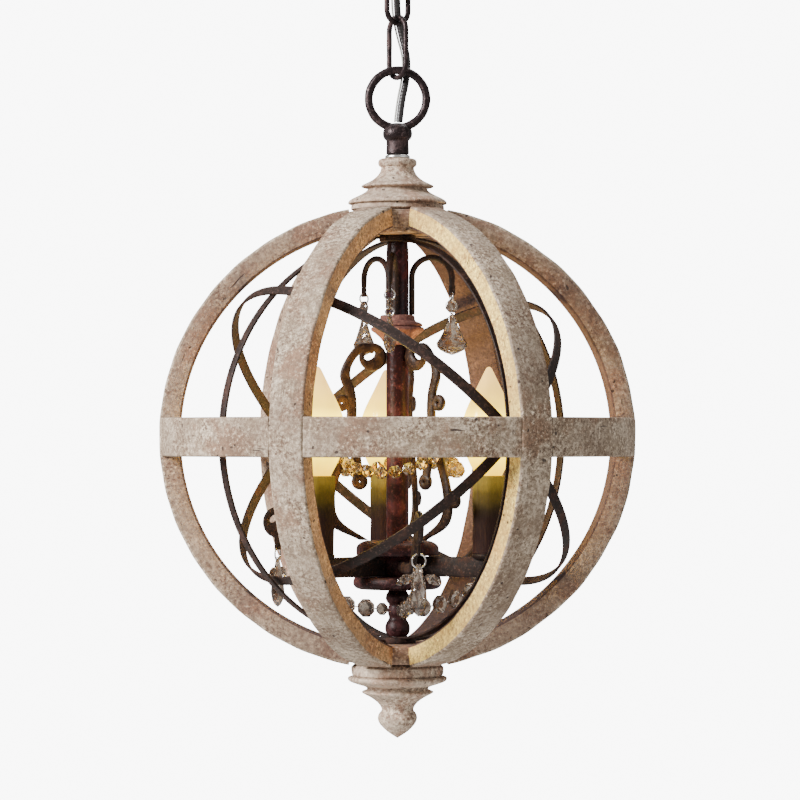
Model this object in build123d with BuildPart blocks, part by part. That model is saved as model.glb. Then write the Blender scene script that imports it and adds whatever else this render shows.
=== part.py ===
"""Orb chandelier: a slatted wood globe on a chain, with a flat-iron cage, scrolls, crystals and three candle lamps.

Frame: millimetres, +Z up, the origin on the ceiling at the centre of the mounting strap.
The globe hangs below it, and its own heights are measured from the globe's centre.
Angles are about the vertical line, from +X towards +Y.  The viewer stands at -Y.
"""
from build123d import *
from math import cos, sin, tan, radians
import os

os.makedirs("parts", exist_ok=True)

# ---------------------------------------------------------------- driving dimensions, mm
CLEAR = 0.2             # between pieces that are fixed to each other
SWING_CLEAR = 0.35      # between pieces that move against each other

# ceiling fitting
CANOPY_R = 63.5
CANOPY_DEPTH = 25.0
CANOPY_WALL = 1.5
CANOPY_FLAT_R = 26.0    # flat underside round the loop
STRAP_LENGTH = 108.0
STRAP_WIDTH = 20.0
STRAP_THICK = 2.5
SCREW_SPACING = 88.9    # hole to hole, an octagonal ceiling box
SCREW_HOLE_R = 2.4

# chain and hanging rings
LOOP_WIRE = 5.0
LOOP_R = 14.5           # to the middle of the wire
LOOP_NECK = 8.0         # from the canopy to the loop's wire
LINK_WIRE = 3.6
LINK_HALF_WIDTH = 8.7   # to the middle of the wire
LINK_LENGTH = 39.4      # between the wire's middles at the two ends
LINK_COUNT = 3
LINK_TURN = -52.0       # plane of the lowest link
RING_WIRE = 5.4
RING_R = 18.8

# globe of six wooden ribs and a band
GLOBE_R = 155.0         # at the equator
GLOBE_HALF_HEIGHT = 151.3
RIB_DEPTH = 14.0
RIB_WIDTH = 23.5
RIB_COUNT = 6
RIB_TURN = 3.7
BAND_HEIGHT = 24.8
BLOCK_R = 33.0          # turned block that the ribs meet at each pole
BLOCK_TOP_Z = 131.5     # inner face of the upper block
BLOCK_BOTTOM_Z = -134.5
SEAT_Z = 146.6          # where the finials sit on the blocks

# rod, washer and boss that carry the globe
ROD_R = 5.0
WASHER_R = 8.2
WASHER_THICK = 2.6
BOSS_R = 10.6
COLLAR_R = 7.6
COLLAR_HEIGHT = 9.6

# finials
FINIAL_HEIGHT = 34.8    # upper, from its seat to its top
TAIL_HEIGHT = 49.5      # lower, from its seat to its tip

# iron cage
CAGE_R = 132.8
CAGE_Z = -1.5
HOOP_THICK = 1.8
HOOP_WIDTH = 7.0
HOOP_TURN = -57.0       # plane of the first upright hoop
HOOP_TILT = 45.0
DISC_R = 12.0
DISC_THICK = 4.0

# column and what it carries
COLUMN_R = 7.25
BELL_R = 18.0
BELL_TOP_Z = 79.6
BELL_HEIGHT = 19.6
HUB_R = 27.0
HUB_TOP_Z = -67.5
HUB_CAP_HEIGHT = 9.7
HUB_CORE_R = 12.0
ARM_HEIGHT = 13.7
COVER_R = 29.0
COVER_HEIGHT = 8.4

# candle lamps
LAMP_COUNT = 3
LAMP_TURN = 97.0
LAMP_RADIUS = 64.0
LAMP_ARM_THICK = 6.0
PAD_R = 11.0
SLEEVE_R = 11.5
SLEEVE_WALL = 1.0
SLEEVE_HEIGHT = 50.0
HOLDER_R = 9.6
HOLDER_BORE_R = 6.4
HOLDER_HEIGHT = 44.0
BULB_BASE_R = 6.0
BULB_BASE_HEIGHT = 21.0
BULB_R = 17.5
BULB_HEIGHT = 74.0

# flat-iron scrolls on the column
SCROLL_TURN = 75.0
SCROLL_THICK = 4.0
SCROLL_EYE_R = 9.2      # upper curl against the column
SCROLL_EYE_Z = 52.0
SCROLL_BUD_R = 5.4

# round-iron hooks with the upper crystals
HOOK_TURNS = (8.7, 128.0, 262.0)    # bent by hand, so not quite evenly apart
HOOK_WIRE = 4.0
HOOK_REACH = 36.0
HOOK_SPRING_Z = 104.0   # where the hook's bend starts
HOOK_END_Z = 98.0

# flat-iron arms with the lower crystals
CURL_TURN = 39.0
CURL_REACH = 85.0
CURL_Z = -56.5
CURL_R = 10.5
CURL_THICK = 4.0
CURL_STRAP = 7.0

# crystals
TAB_THICK = 2.0
TAB_HOLE_R = 1.25
TAB_DROP = 3.2          # from the iron's end to the hole
EYE_WIRE = 1.1
EYE_R = 4.4             # silver ring of a lower crystal, to the middle of its wire
SMALL_EYE_R = 3.4       # silver ring of an upper crystal
BEAD_R = 4.6
BEAD_THICK = 3.2
BEAD_HOLE = 2.4         # from the bead's middle to its holes
LINK_EYE_R = 2.7        # small silver ring between bead and drop
DROP_LENGTH = 26.0
DROP_HALF_WIDTH = 10.4
DROP_HALF_THICK = 4.4
ICICLE_LENGTH = 33.0
ICICLE_HALF_WIDTH = 5.4
ICICLE_HOLE_R = 1.5
WING_ROOT = 4.8         # a leaf's inner end and tip, from the icicle's middle
WING_TIP = 16.2
WING_TURN = 118.0       # from straight up
GARLAND_BEAD_R = 6.4
GARLAND_BEAD_THICK = 5.0
GARLAND_WIRE = 0.9

# lead and earth wire
LEAD_D = 4.4
EARTH_D = 1.3

# flats that stand for a full turn, so that the many round pieces keep few facets
GLOBE_FLATS = 48
FINE_FLATS = 20
ROUND_FLATS = 16
LAMP_FLATS = 12
WIRE_FLATS = 8
BORE_FLATS = 10
CURVE_CHORDS = 18       # along one side of a flat-iron scroll

# ---------------------------------------------------------------- heights that follow
loop_z = -(CANOPY_DEPTH + LOOP_NECK + LOOP_R)
link_top_z = [loop_z - LOOP_R + (LOOP_WIRE + LINK_WIRE) / 2 + SWING_CLEAR]
for _ in range(LINK_COUNT - 1):
    link_top_z.append(link_top_z[-1] - LINK_LENGTH + LINK_WIRE + SWING_CLEAR)
link_top_z.reverse()                                    # link 1 is the lowest
ring_top_z = link_top_z[0] - LINK_LENGTH + (LINK_WIRE + RING_WIRE) / 2 + SWING_CLEAR
ring_z = ring_top_z - RING_R
washer_top = SEAT_Z + CLEAR + FINIAL_HEIGHT + WASHER_THICK  # above the globe's centre
collar_top = washer_top + COLLAR_HEIGHT
ORB_Z = ring_z - RING_R - (collar_top + BOSS_R * 0.75)  # centre of the globe
link_turns = [LINK_TURN + 90 * k for k in range(LINK_COUNT)]
loop_turn = LINK_TURN + 90 * LINK_COUNT
arm_top = HUB_TOP_Z - HUB_CAP_HEIGHT
arm_z = arm_top - ARM_HEIGHT / 2
cover_top = arm_top - ARM_HEIGHT
disc_top_z = BLOCK_TOP_Z - CLEAR
disc_bottom_z = BLOCK_BOTTOM_Z + CLEAR
column_top = disc_top_z - DISC_THICK - CLEAR


# ---------------------------------------------------------------- helpers
def level(z):
    """A horizontal plane at height z above the globe's centre."""
    return Plane.XY.offset(ORB_Z + z)


def upright(turn, z=ORB_Z):
    """The upright plane through the vertical line at angle turn: x runs outwards, y runs up."""
    out = Vector(cos(radians(turn)), sin(radians(turn)), 0)
    return Plane(origin=(0, 0, z), x_dir=out, z_dir=out.cross(Vector(0, 0, 1)))


def polar(turn, radius, z=0.0):
    """A point at that angle and radius, and height z above the globe's centre."""
    return Vector(radius * cos(radians(turn)), radius * sin(radians(turn)), ORB_Z + z)


def skin(rows):
    """A closed solid whose rows are closed loops of corners with equal counts: flat faces join row to row."""
    faces = [Face(Wire.make_polygon(rows[0])), Face(Wire.make_polygon(rows[-1]))]
    for low, high in zip(rows, rows[1:]):
        for k in range(len(low)):
            n = (k + 1) % len(low)
            corners = [low[k], low[n], high[n], high[k]]
            across = (low[n] - low[k]).cross(high[k] - low[k])
            if abs(across.normalized().dot(high[n] - low[k])) < 1e-6:
                faces.append(Face(Wire.make_polygon(corners)))
            else:
                faces.append(Face(Wire.make_polygon([low[k], low[n], high[n]])))
                faces.append(Face(Wire.make_polygon([low[k], high[n], high[k]])))
    return Solid(Shell(faces))


def circle_row(centre, radius, z, flats):
    """The corners of a regular polygon at height z."""
    turns = [radians(360 / flats * k) for k in range(flats)]
    return [Vector(centre[0] + radius * cos(t), centre[1] + radius * sin(t), z) for t in turns]


def turned(profile, flats, centre=(0, 0), bore=0.0, lift=ORB_Z, bore_flats=BORE_FLATS):
    """A turned solid: profile lists (height, radius) upwards, and bore is a hole right through."""
    form = skin([circle_row(centre, radius, lift + height, flats) for height, radius in profile])
    with BuildPart() as solid:
        add(form)
        if bore:
            bottom, top = profile[0][0], profile[-1][0]
            with BuildSketch(Plane.XY.offset(lift + bottom - 1)):
                with Locations(centre):
                    RegularPolygon(bore, bore_flats)
            extrude(amount=top - bottom + 2, mode=Mode.SUBTRACT)
    return solid.part


def wire_along(points, wire_r, closed=False, flats=WIRE_FLATS):
    """A wire of flat-sided section along straight chords."""
    first = (points[0] + points[1]) / 2 if closed else points[0]
    corners = [first, *points[1:], points[0], first] if closed else points
    with BuildPart() as solid:
        with BuildLine() as path:
            Polyline(*corners)
        with BuildSketch(Plane(origin=first, z_dir=points[1] - points[0])):
            RegularPolygon(wire_r, flats)
        sweep(path=path.wires()[0], transition=Transition.RIGHT)
    return solid.part


def ring_points(radius, sides, plane, start=0.0):
    """The corners of a ring's polygon in a plane, its sides as far out as the true circle on average."""
    corner = radius / cos(radians(90 / sides))
    turns = [radians(start + 360 * k / sides) for k in range(sides)]
    return [plane.from_local_coords(Vector(corner * cos(t), corner * sin(t), 0)) for t in turns]


def chords_of(curve, count=CURVE_CHORDS):
    """Evenly spaced points of a curve."""
    return [curve @ (k / count) for k in range(count + 1)]


def save(part, name):
    part.label = name
    export_step(part, f"parts/{name}.step")


def save_group(parts, name):
    save(Compound(label=name, children=parts), name)


# ---------------------------------------------------------------- ceiling fitting
def ceiling_strap():
    with BuildPart() as strap:
        with BuildSketch() as outline:
            Rectangle(STRAP_LENGTH, STRAP_WIDTH)
            chamfer(outline.vertices(), STRAP_WIDTH / 4)
            with Locations((-SCREW_SPACING / 2, 0), (SCREW_SPACING / 2, 0)):
                Circle(SCREW_HOLE_R, mode=Mode.SUBTRACT)
            RegularPolygon(ROD_R + CLEAR, BORE_FLATS, mode=Mode.SUBTRACT)
        extrude(amount=-STRAP_THICK)
    save(strap.part, "crossbar")


LEAD_ENTRY = (-2.0, -14.0)      # lead's hole in the canopy
EARTH_ENTRY = (-6.5, -12.5)


def canopy():
    bowl = [(-CANOPY_DEPTH, CANOPY_FLAT_R), (-CANOPY_DEPTH + 5, 42), (-CANOPY_DEPTH + 12, 54),
            (-CANOPY_DEPTH + 19, 60.5), (-3, CANOPY_R), (0, CANOPY_R)]
    inside = [(z + CANOPY_WALL, r - CANOPY_WALL * 1.2) for z, r in bowl[:-1]] + [(1, CANOPY_R - CANOPY_WALL * 1.2)]
    outer_form = turned(bowl, FINE_FLATS, lift=0)
    inner_form = turned(inside, FINE_FLATS, lift=0)
    with BuildPart() as shell:
        add(outer_form)
        add(inner_form, mode=Mode.SUBTRACT)
        with BuildSketch(Plane.XY.offset(-CANOPY_DEPTH)):
            RegularPolygon(ROD_R + CLEAR, BORE_FLATS)
            with Locations(LEAD_ENTRY):
                RegularPolygon(LEAD_D / 2 + 1.0, BORE_FLATS)
            with Locations(EARTH_ENTRY):
                RegularPolygon(EARTH_D / 2 + 0.8, BORE_FLATS)
        extrude(amount=CANOPY_WALL * 3, both=True, mode=Mode.SUBTRACT)
    save(shell.part, "canopy")


def canopy_loop():
    plane = upright(loop_turn, loop_z)
    neck_top = -CANOPY_DEPTH - CLEAR
    bow = wire_along(ring_points(LOOP_R, 14, plane, 90 / 7), LOOP_WIRE / 2, closed=True)
    neck = turned([(loop_z + LOOP_R - 1.0, 4.0), (neck_top - 4.0, 8.6), (neck_top, 9.0)], ROUND_FLATS, lift=0)
    with BuildPart() as loop:
        add(bow)
        add(neck)
        with BuildSketch(Plane.XY.offset(neck_top - 1)):
            RegularPolygon(ROD_R, BORE_FLATS)
        extrude(amount=-neck_top + 1 - CLEAR)
    save(loop.part, "canopy_loop")


# ---------------------------------------------------------------- chain
def link_points(plane):
    """A long link: two half circles of chords joined by straight sides."""
    half = LINK_LENGTH / 2 - LINK_HALF_WIDTH
    corner = LINK_HALF_WIDTH / cos(radians(9))
    ends = []
    for side, first in ((1, 9), (-1, 189)):
        for k in range(10):
            t = radians(first + 18 * k)
            ends.append(Vector(corner * cos(t), side * half + corner * sin(t), 0))
    return [plane.from_local_coords(p) for p in ends]


def chain():
    for number, (top, turn) in enumerate(zip(link_top_z, link_turns), 1):
        plane = upright(turn, top - LINK_LENGTH / 2)
        link = wire_along(link_points(plane), LINK_WIRE / 2, closed=True)
        save(link, f"chain_link_{number}")


def hang_ring():
    """Ring with the domed boss that it is brazed to, screwed onto the rod."""
    bow = wire_along(ring_points(RING_R, 20, upright(0, ring_z), 9), RING_WIRE / 2, closed=True)
    boss = turned([(washer_top + CLEAR, COLLAR_R), (collar_top, COLLAR_R), (collar_top + 3.0, BOSS_R),
                   (collar_top + 6.5, BOSS_R - 0.6), (collar_top + 9.6, 7.0), (collar_top + 11.2, 2.5)], ROUND_FLATS)
    with BuildPart() as ring:
        add(bow)
        add(boss)
        with BuildSketch(level(washer_top)):
            RegularPolygon(ROD_R + CLEAR, BORE_FLATS)
        extrude(amount=COLLAR_HEIGHT - 0.6, mode=Mode.SUBTRACT)
    save(ring.part, "hang_ring")


# ---------------------------------------------------------------- rod, washer, blocks and finials
def rod():
    bottom = BLOCK_BOTTOM_Z - 20
    top = collar_top - 1.2
    with BuildPart() as pipe:
        with BuildSketch(level(bottom)):
            RegularPolygon(ROD_R, BORE_FLATS)
            RegularPolygon(ROD_R - 1.5, BORE_FLATS, mode=Mode.SUBTRACT)
        extrude(amount=top - bottom)
    save(pipe.part, "lamp_pipe")
    save(turned([(washer_top - WASHER_THICK + CLEAR, WASHER_R), (washer_top - 1.4, WASHER_R), (washer_top, 6.6)],
                ROUND_FLATS, bore=ROD_R + CLEAR), "top_washer")


def blocks():
    bore = ROD_R + CLEAR
    save(turned([(BLOCK_TOP_Z, BLOCK_R), (SEAT_Z, BLOCK_R)], FINE_FLATS, bore=bore), "top_block")
    save(turned([(-SEAT_Z, BLOCK_R), (BLOCK_BOTTOM_Z, BLOCK_R)], FINE_FLATS, bore=bore), "bottom_block")


def finials():
    base = SEAT_Z + CLEAR
    top = base + FINIAL_HEIGHT
    save(turned([(base, 30.3), (base + 4.4, 30.3), (base + 4.8, 32.3), (base + 7.0, 31.2), (base + 9.6, 27.5),
                 (base + 12.6, 21.0), (base + 14.6, 18.6), (base + 15.6, 23.4), (base + 17.4, 23.0),
                 (base + 20.4, 15.6), (base + 24.2, 11.6), (base + 28.0, 10.4), (base + 29.6, 12.2),
                 (base + 32.8, 12.4), (top, 11.2)], FINE_FLATS, bore=ROD_R + CLEAR), "top_finial")
    base = -SEAT_Z - CLEAR
    rings = [(0.0, 30.0), (8.4, 30.0), (8.9, 28.2), (9.4, 32.4), (12.0, 30.0), (15.4, 20.2), (17.6, 19.6), (18.6, 22.8),
             (21.0, 22.2), (24.8, 14.6), (29.6, 10.2), (31.4, 10.2), (33.2, 12.4), (37.6, 12.6), (41.8, 9.6),
             (45.8, 5.0), (TAIL_HEIGHT, 1.2)]
    turning = turned([(base - drop, radius) for drop, radius in reversed(rings)], FINE_FLATS)
    with BuildPart() as tail:
        add(turning)
        with BuildSketch(level(base)):
            RegularPolygon(ROD_R + CLEAR, BORE_FLATS)
        extrude(amount=-12, mode=Mode.SUBTRACT)
    save(tail.part, "bottom_finial")


# ---------------------------------------------------------------- wooden globe
def ribs():
    lap_r = GLOBE_R - RIB_DEPTH / 2
    turns = [radians(360 / GLOBE_FLATS * (k + 0.5)) for k in range(GLOBE_FLATS)]
    for number in range(RIB_COUNT):
        with BuildPart() as rib:
            with BuildSketch(upright(RIB_TURN + 360 / RIB_COUNT * number)):
                with BuildLine():
                    Polyline(*[(GLOBE_R * cos(t), GLOBE_HALF_HEIGHT * sin(t)) for t in turns], close=True)
                make_face()
                with BuildLine():
                    Polyline(*[((GLOBE_R - RIB_DEPTH) * cos(t), (GLOBE_HALF_HEIGHT - RIB_DEPTH) * sin(t))
                               for t in turns], close=True)
                make_face(mode=Mode.SUBTRACT)
                with Locations((-GLOBE_R, 0)):
                    Rectangle(2 * GLOBE_R, 2.2 * GLOBE_R, mode=Mode.SUBTRACT)
                with Locations((lap_r - 20 + CLEAR / 2, 0)):
                    Rectangle(40, BAND_HEIGHT + 2 * CLEAR, mode=Mode.SUBTRACT)
            extrude(amount=RIB_WIDTH / 2, both=True)
            with BuildSketch(level(-GLOBE_R)):
                RegularPolygon(BLOCK_R + CLEAR, FINE_FLATS)
            extrude(amount=2 * GLOBE_R, mode=Mode.SUBTRACT)
        save(rib.part, f"rib_{number + 1}")


def band():
    lap_r = GLOBE_R - RIB_DEPTH / 2
    with BuildPart() as hoop:
        with BuildSketch(level(-BAND_HEIGHT / 2)):
            RegularPolygon(GLOBE_R, GLOBE_FLATS, rotation=RIB_TURN)
            RegularPolygon(GLOBE_R - RIB_DEPTH, GLOBE_FLATS, rotation=RIB_TURN, mode=Mode.SUBTRACT)
            with PolarLocations(lap_r + 20, RIB_COUNT, start_angle=RIB_TURN):
                Rectangle(40, RIB_WIDTH + 2 * CLEAR, mode=Mode.SUBTRACT)
        extrude(amount=BAND_HEIGHT)
    save(hoop.part, "equator_band")


# ---------------------------------------------------------------- iron cage
def hoop(plane, radius, poles):
    """A flat strap rolled into a hoop, cut away at the poles where the discs are."""
    with BuildPart() as strap:
        with BuildSketch(plane):
            RegularPolygon(radius, GLOBE_FLATS)
            RegularPolygon(radius - HOOP_THICK, GLOBE_FLATS, mode=Mode.SUBTRACT)
        extrude(amount=HOOP_WIDTH / 2, both=True)
        if poles:
            with BuildSketch(level(-CAGE_R - 10)):
                RegularPolygon(DISC_R + CLEAR, ROUND_FLATS)
            extrude(amount=2 * CAGE_R + 20, mode=Mode.SUBTRACT)
    return strap.part


def cage():
    """Two upright hoops and two tilted ones, nested one inside the other: hoop 4 is the outermost."""
    step = HOOP_THICK + CLEAR / 2 + CAGE_R * (1 - cos(radians(180 / GLOBE_FLATS)))
    centre = ORB_Z + CAGE_Z
    save(hoop(upright(HOOP_TURN + 90, centre), CAGE_R, True), "cage_hoop_1")
    save(hoop(upright(HOOP_TURN, centre), CAGE_R - step, True), "cage_hoop_2")
    axis = Vector(cos(radians(HOOP_TURN)), sin(radians(HOOP_TURN)), 0)
    for number, tilt, radius in ((3, HOOP_TILT, CAGE_R - 2 * step), (4, -HOOP_TILT, CAGE_R + step)):
        plane = Plane(origin=(0, 0, centre), x_dir=axis, z_dir=Vector(0, 0, 1).rotate(Axis((0, 0, 0), axis), tilt))
        save(hoop(plane, radius, False), f"cage_hoop_{number}")
    discs = []
    for bottom in (disc_top_z - DISC_THICK, disc_bottom_z):
        discs.append(turned([(bottom, DISC_R), (bottom + DISC_THICK, DISC_R)], ROUND_FLATS, bore=ROD_R + CLEAR))
    save_group(discs, "cage_discs")


# ---------------------------------------------------------------- column, bell, hub and balls
def column():
    bore = ROD_R + CLEAR
    save(turned([(HUB_TOP_Z + CLEAR, COLUMN_R), (column_top, COLUMN_R)], ROUND_FLATS, bore=bore), "column")
    bottom = BELL_TOP_Z - BELL_HEIGHT
    save(turned([(bottom, 8.6), (bottom + 4.0, 11.0), (bottom + 8.0, 15.0), (bottom + 9.4, BELL_R),
                 (bottom + 12.4, BELL_R), (bottom + 15.2, 14.2), (bottom + 18.2, 11.8), (BELL_TOP_Z, 10.6)],
                ROUND_FLATS, bore=COLUMN_R + CLEAR, bore_flats=ROUND_FLATS), "column_bell")
    save(turned([(cover_top + CLEAR, HUB_CORE_R), (arm_top, HUB_CORE_R), (arm_top + 0.1, HUB_R), (HUB_TOP_Z - 4, HUB_R),
                 (HUB_TOP_Z - 1.2, HUB_R - 2), (HUB_TOP_Z, HUB_R - 6)], FINE_FLATS, bore=bore), "arm_hub")
    bottom = cover_top - COVER_HEIGHT
    save(turned([(bottom, COVER_R - 5), (bottom + 1.2, COVER_R - 1), (bottom + 3, COVER_R), (cover_top, COVER_R - 1)],
                FINE_FLATS, bore=bore), "hub_cover")
    balls = [(disc_bottom_z + DISC_THICK + CLEAR, 5.4), (-127.6, 7.6), (-124.4, 8.2), (-120.6, 7.0), (-117.2, 5.8),
             (-114.6, 5.9), (-110.6, 5.8), (-108.6, 6.3), (-105.0, 7.6), (-102.0, 7.0), (bottom - CLEAR, 6.0)]
    save(turned(balls, ROUND_FLATS, bore=bore), "hub_balls")


# ---------------------------------------------------------------- candle lamps
BULB_PROFILE = [(0.0, 0.37), (0.08, 0.54), (0.19, 0.79), (0.31, 0.95), (0.42, 1.0), (0.54, 0.95), (0.67, 0.76),
                (0.80, 0.50), (0.92, 0.22), (1.0, 0.05)]       # share of height, share of radius


def lamps():
    arms, sleeves, holders = [], [], []
    pad_top = arm_top + 2.0
    holder_bottom = pad_top + CLEAR
    holder_top = holder_bottom + HOLDER_HEIGHT
    for number in range(LAMP_COUNT):
        turn = LAMP_TURN + 360 / LAMP_COUNT * number
        spot = (LAMP_RADIUS * cos(radians(turn)), LAMP_RADIUS * sin(radians(turn)))
        pad = turned([(arm_top - 1.5, PAD_R - 2), (arm_top, PAD_R), (pad_top, PAD_R)], LAMP_FLATS, spot)
        with BuildPart() as arm:
            with BuildSketch(upright(turn)):
                with BuildLine():
                    inner, outer = HUB_CORE_R + CLEAR, LAMP_RADIUS + 9
                    Polyline((inner, cover_top + CLEAR), (outer, cover_top + CLEAR), (outer + 3, cover_top + 4),
                             (outer + 3, arm_top - CLEAR), (inner, arm_top - CLEAR), close=True)
                make_face()
            extrude(amount=LAMP_ARM_THICK / 2, both=True)
            add(pad)
        arms.append(arm.part)
        with BuildPart() as sleeve:
            with BuildSketch(level(pad_top + CLEAR)):
                with Locations(spot):
                    RegularPolygon(SLEEVE_R, LAMP_FLATS)
                    RegularPolygon(SLEEVE_R - SLEEVE_WALL, LAMP_FLATS, mode=Mode.SUBTRACT)
            extrude(amount=SLEEVE_HEIGHT)
        sleeves.append(sleeve.part)
        with BuildPart() as holder:
            with BuildSketch(level(holder_bottom)):
                with Locations(spot):
                    RegularPolygon(HOLDER_R, LAMP_FLATS)
            extrude(amount=HOLDER_HEIGHT)
            with BuildSketch(level(holder_top)):
                with Locations(spot):
                    RegularPolygon(HOLDER_BORE_R / cos(radians(180 / LAMP_FLATS)), LAMP_FLATS)
            extrude(amount=-BULB_BASE_HEIGHT - 1, mode=Mode.SUBTRACT)
        holders.append(holder.part)
        base_bottom = holder_top - BULB_BASE_HEIGHT + SWING_CLEAR
        glass_bottom = holder_top + 2.0
        save(turned([(base_bottom, 3.4), (base_bottom + 3, 5.4), (base_bottom + 4, BULB_BASE_R),
                     (glass_bottom, BULB_BASE_R)], LAMP_FLATS, spot), f"bulb_base_{number + 1}")
        save(turned([(glass_bottom + CLEAR + BULB_HEIGHT * h, BULB_R * r) for h, r in BULB_PROFILE], LAMP_FLATS, spot),
             f"bulb_glass_{number + 1}")
    save_group(arms, "candle_arms")
    save_group(sleeves, "candle_sleeves")
    save_group(holders, "lampholders")


# ---------------------------------------------------------------- flat-iron scrolls
def scrolls():
    """Each ornament is one plate: an upper C-scroll with its eye on the column, a lower one that lands
    on the hub, and the buds between them."""
    eye_x = COLUMN_R + CLEAR + SCROLL_EYE_R
    foot = HUB_TOP_Z + CLEAR
    outer = Spline((eye_x - 2, SCROLL_EYE_Z + SCROLL_EYE_R - 0.4), (eye_x + 11, SCROLL_EYE_Z + 7.5), (38.6, 42.0),
                   (34.6, 27.0), (34.6, 8.0), (42.0, -14.0), (49.0, -38.0), (46.5, -56.0), (25.6, foot + 0.2))
    inner = Spline((19.0, foot), (38.5, -54.0), (42.0, -38.0), (35.0, -14.0), (28.2, 8.0), (28.0, 27.0),
                   (32.0, 42.0), (eye_x + 9.0, SCROLL_EYE_Z + 1.5), (eye_x, SCROLL_EYE_Z + 2.4))
    for number in range(3):
        with BuildPart() as scroll:
            with BuildSketch(upright(SCROLL_TURN + 120 * number)):
                with BuildLine():
                    Polyline(*chords_of(outer), *chords_of(inner), close=True)
                make_face()
                with Locations((eye_x, SCROLL_EYE_Z)):
                    RegularPolygon(SCROLL_EYE_R, ROUND_FLATS)
                with Locations((eye_x + 3.6, SCROLL_EYE_Z + 1.8)):
                    RegularPolygon(2.8, WIRE_FLATS, mode=Mode.SUBTRACT)
                with Locations((37.5, 22.0), (25.5, -29.0), (51.5, -41.0)):
                    RegularPolygon(SCROLL_BUD_R, LAMP_FLATS)
                with BuildLine():
                    Polyline((28.6, 12.0), (32.6, 4.0), (29.6, -26.0), (23.6, -26.0), close=True)
                make_face()
            extrude(amount=SCROLL_THICK / 2, both=True)
        save(scroll.part, f"scroll_{number + 1}")


# ---------------------------------------------------------------- crystals, shared shapes
def tab(turn, radius, end_z):
    """The flattened end of an iron, drilled for the silver ring."""
    plane = upright(turn)
    with BuildPart() as plate:
        with BuildSketch(plane):
            with Locations((radius, end_z - TAB_DROP / 2)):
                Rectangle(2 * TAB_HOLE_R + 2.4, TAB_DROP + 2 * TAB_HOLE_R + 2.0)
            with Locations((radius, end_z - TAB_DROP)):
                RegularPolygon(TAB_HOLE_R, WIRE_FLATS, mode=Mode.SUBTRACT)
        extrude(amount=TAB_THICK / 2, both=True)
    return plate.part


def silver_ring(turn, radius, top_z, mean_r, sides=10):
    """A silver ring that hangs across the arm, its wire's top at that height."""
    across = Plane(origin=polar(turn, radius, top_z - mean_r), x_dir=upright(turn).z_dir, z_dir=polar(turn, 1) - polar(turn, 0))
    outer = (mean_r + EYE_WIRE / 2) / cos(radians(180 / sides))
    with BuildPart() as ring:
        with BuildSketch(across):
            RegularPolygon(outer, sides)
            RegularPolygon(outer - EYE_WIRE, sides, mode=Mode.SUBTRACT)
        extrude(amount=EYE_WIRE / 2, both=True)
    return ring.part


def crystal(plane, sections, flats=8):
    """A cut crystal: (height, half width, half thickness) from its lower point upwards, in a plane."""
    rows = []
    for height, width, thick in sections:
        turns = [radians(360 / flats * (k + 0.5)) for k in range(flats)]
        rows.append([plane.from_local_coords(Vector(width * cos(t), height, thick * sin(t))) for t in turns])
    return skin(rows)


def drilled(stone, plane, heights, radius=TAB_HOLE_R):
    """A crystal with its wire holes, square to the plane."""
    with BuildPart() as cut:
        add(stone)
        with BuildSketch(plane):
            with Locations(*[(0, height) for height in heights]):
                RegularPolygon(radius, 6)
        extrude(amount=30, both=True, mode=Mode.SUBTRACT)
    return cut.part


def bead(plane, height, radius=BEAD_R, thick=BEAD_THICK):
    """An octagonal bead, cut to a flat table on both faces."""
    rows = []
    for offset, share in ((-0.5, 0.55), (0.0, 1.0), (0.5, 0.55)):
        turns = [radians(45 * k + 22.5) for k in range(8)]
        rows.append([plane.from_local_coords(Vector(radius * share * cos(t), height + radius * share * sin(t),
                                                    offset * thick)) for t in turns])
    return skin(rows)


def hanging_plane(turn, radius, z):
    """The upright plane at that angle, with its origin at that radius and height."""
    base = upright(turn)
    return Plane(origin=polar(turn, radius, z), x_dir=base.x_dir, z_dir=base.z_dir)


# ---------------------------------------------------------------- upper hooks and crystals
def upper_crystals():
    stem = COLUMN_R + CLEAR + HOOK_WIRE / 2
    bend = (HOOK_REACH - stem) / 2
    hooks = []
    for number, turn in enumerate(HOOK_TURNS):
        plane = upright(turn)
        arch = [radians(180 - 22.5 * k) for k in range(9)]
        points = [Vector(stem, BELL_TOP_Z + CLEAR, 0)]
        points += [Vector(stem + bend + bend * cos(t), HOOK_SPRING_Z + bend * sin(t), 0) for t in arch]
        points += [Vector(HOOK_REACH, HOOK_END_Z, 0)]
        cane = wire_along([plane.from_local_coords(p) for p in points], HOOK_WIRE / 2, flats=6)
        end = tab(turn, HOOK_REACH, HOOK_END_Z)
        with BuildPart() as hook:
            add(cane)
            add(end)
        hooks.append(hook.part)
        eye_z = HOOK_END_Z - TAB_DROP
        hole_1 = eye_z - 2 * SMALL_EYE_R
        hole_2 = hole_1 - 2 * BEAD_HOLE
        hole_3 = hole_2 - 2 * LINK_EYE_R
        hang = hanging_plane(turn, HOOK_REACH, 0)
        rings = [silver_ring(turn, HOOK_REACH, eye_z, SMALL_EYE_R), silver_ring(turn, HOOK_REACH, hole_2, LINK_EYE_R)]
        save_group(rings, f"upper_ring_{number + 1}")
        stone_bead = drilled(bead(hang, (hole_1 + hole_2) / 2), hang, (hole_1, hole_2))
        top = hole_3 + 1.9
        shape = [(0.0, 1.2, 0.8), (0.10, 7.4, 3.3), (0.22, 10.4, 4.4), (0.34, 10.0, 4.3), (0.56, 6.4, 3.2),
                 (0.80, 3.2, 1.8), (1.0, 2.4, 1.1)]
        sections = [(top - DROP_LENGTH * (1 - h), DROP_HALF_WIDTH / 10.4 * w, DROP_HALF_THICK / 4.4 * t)
                    for h, w, t in shape]
        drop = drilled(crystal(hang, sections), hang, (hole_3,))
        save_group([stone_bead, drop], f"upper_crystal_{number + 1}")
    save_group(hooks, "crystal_hooks")


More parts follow.
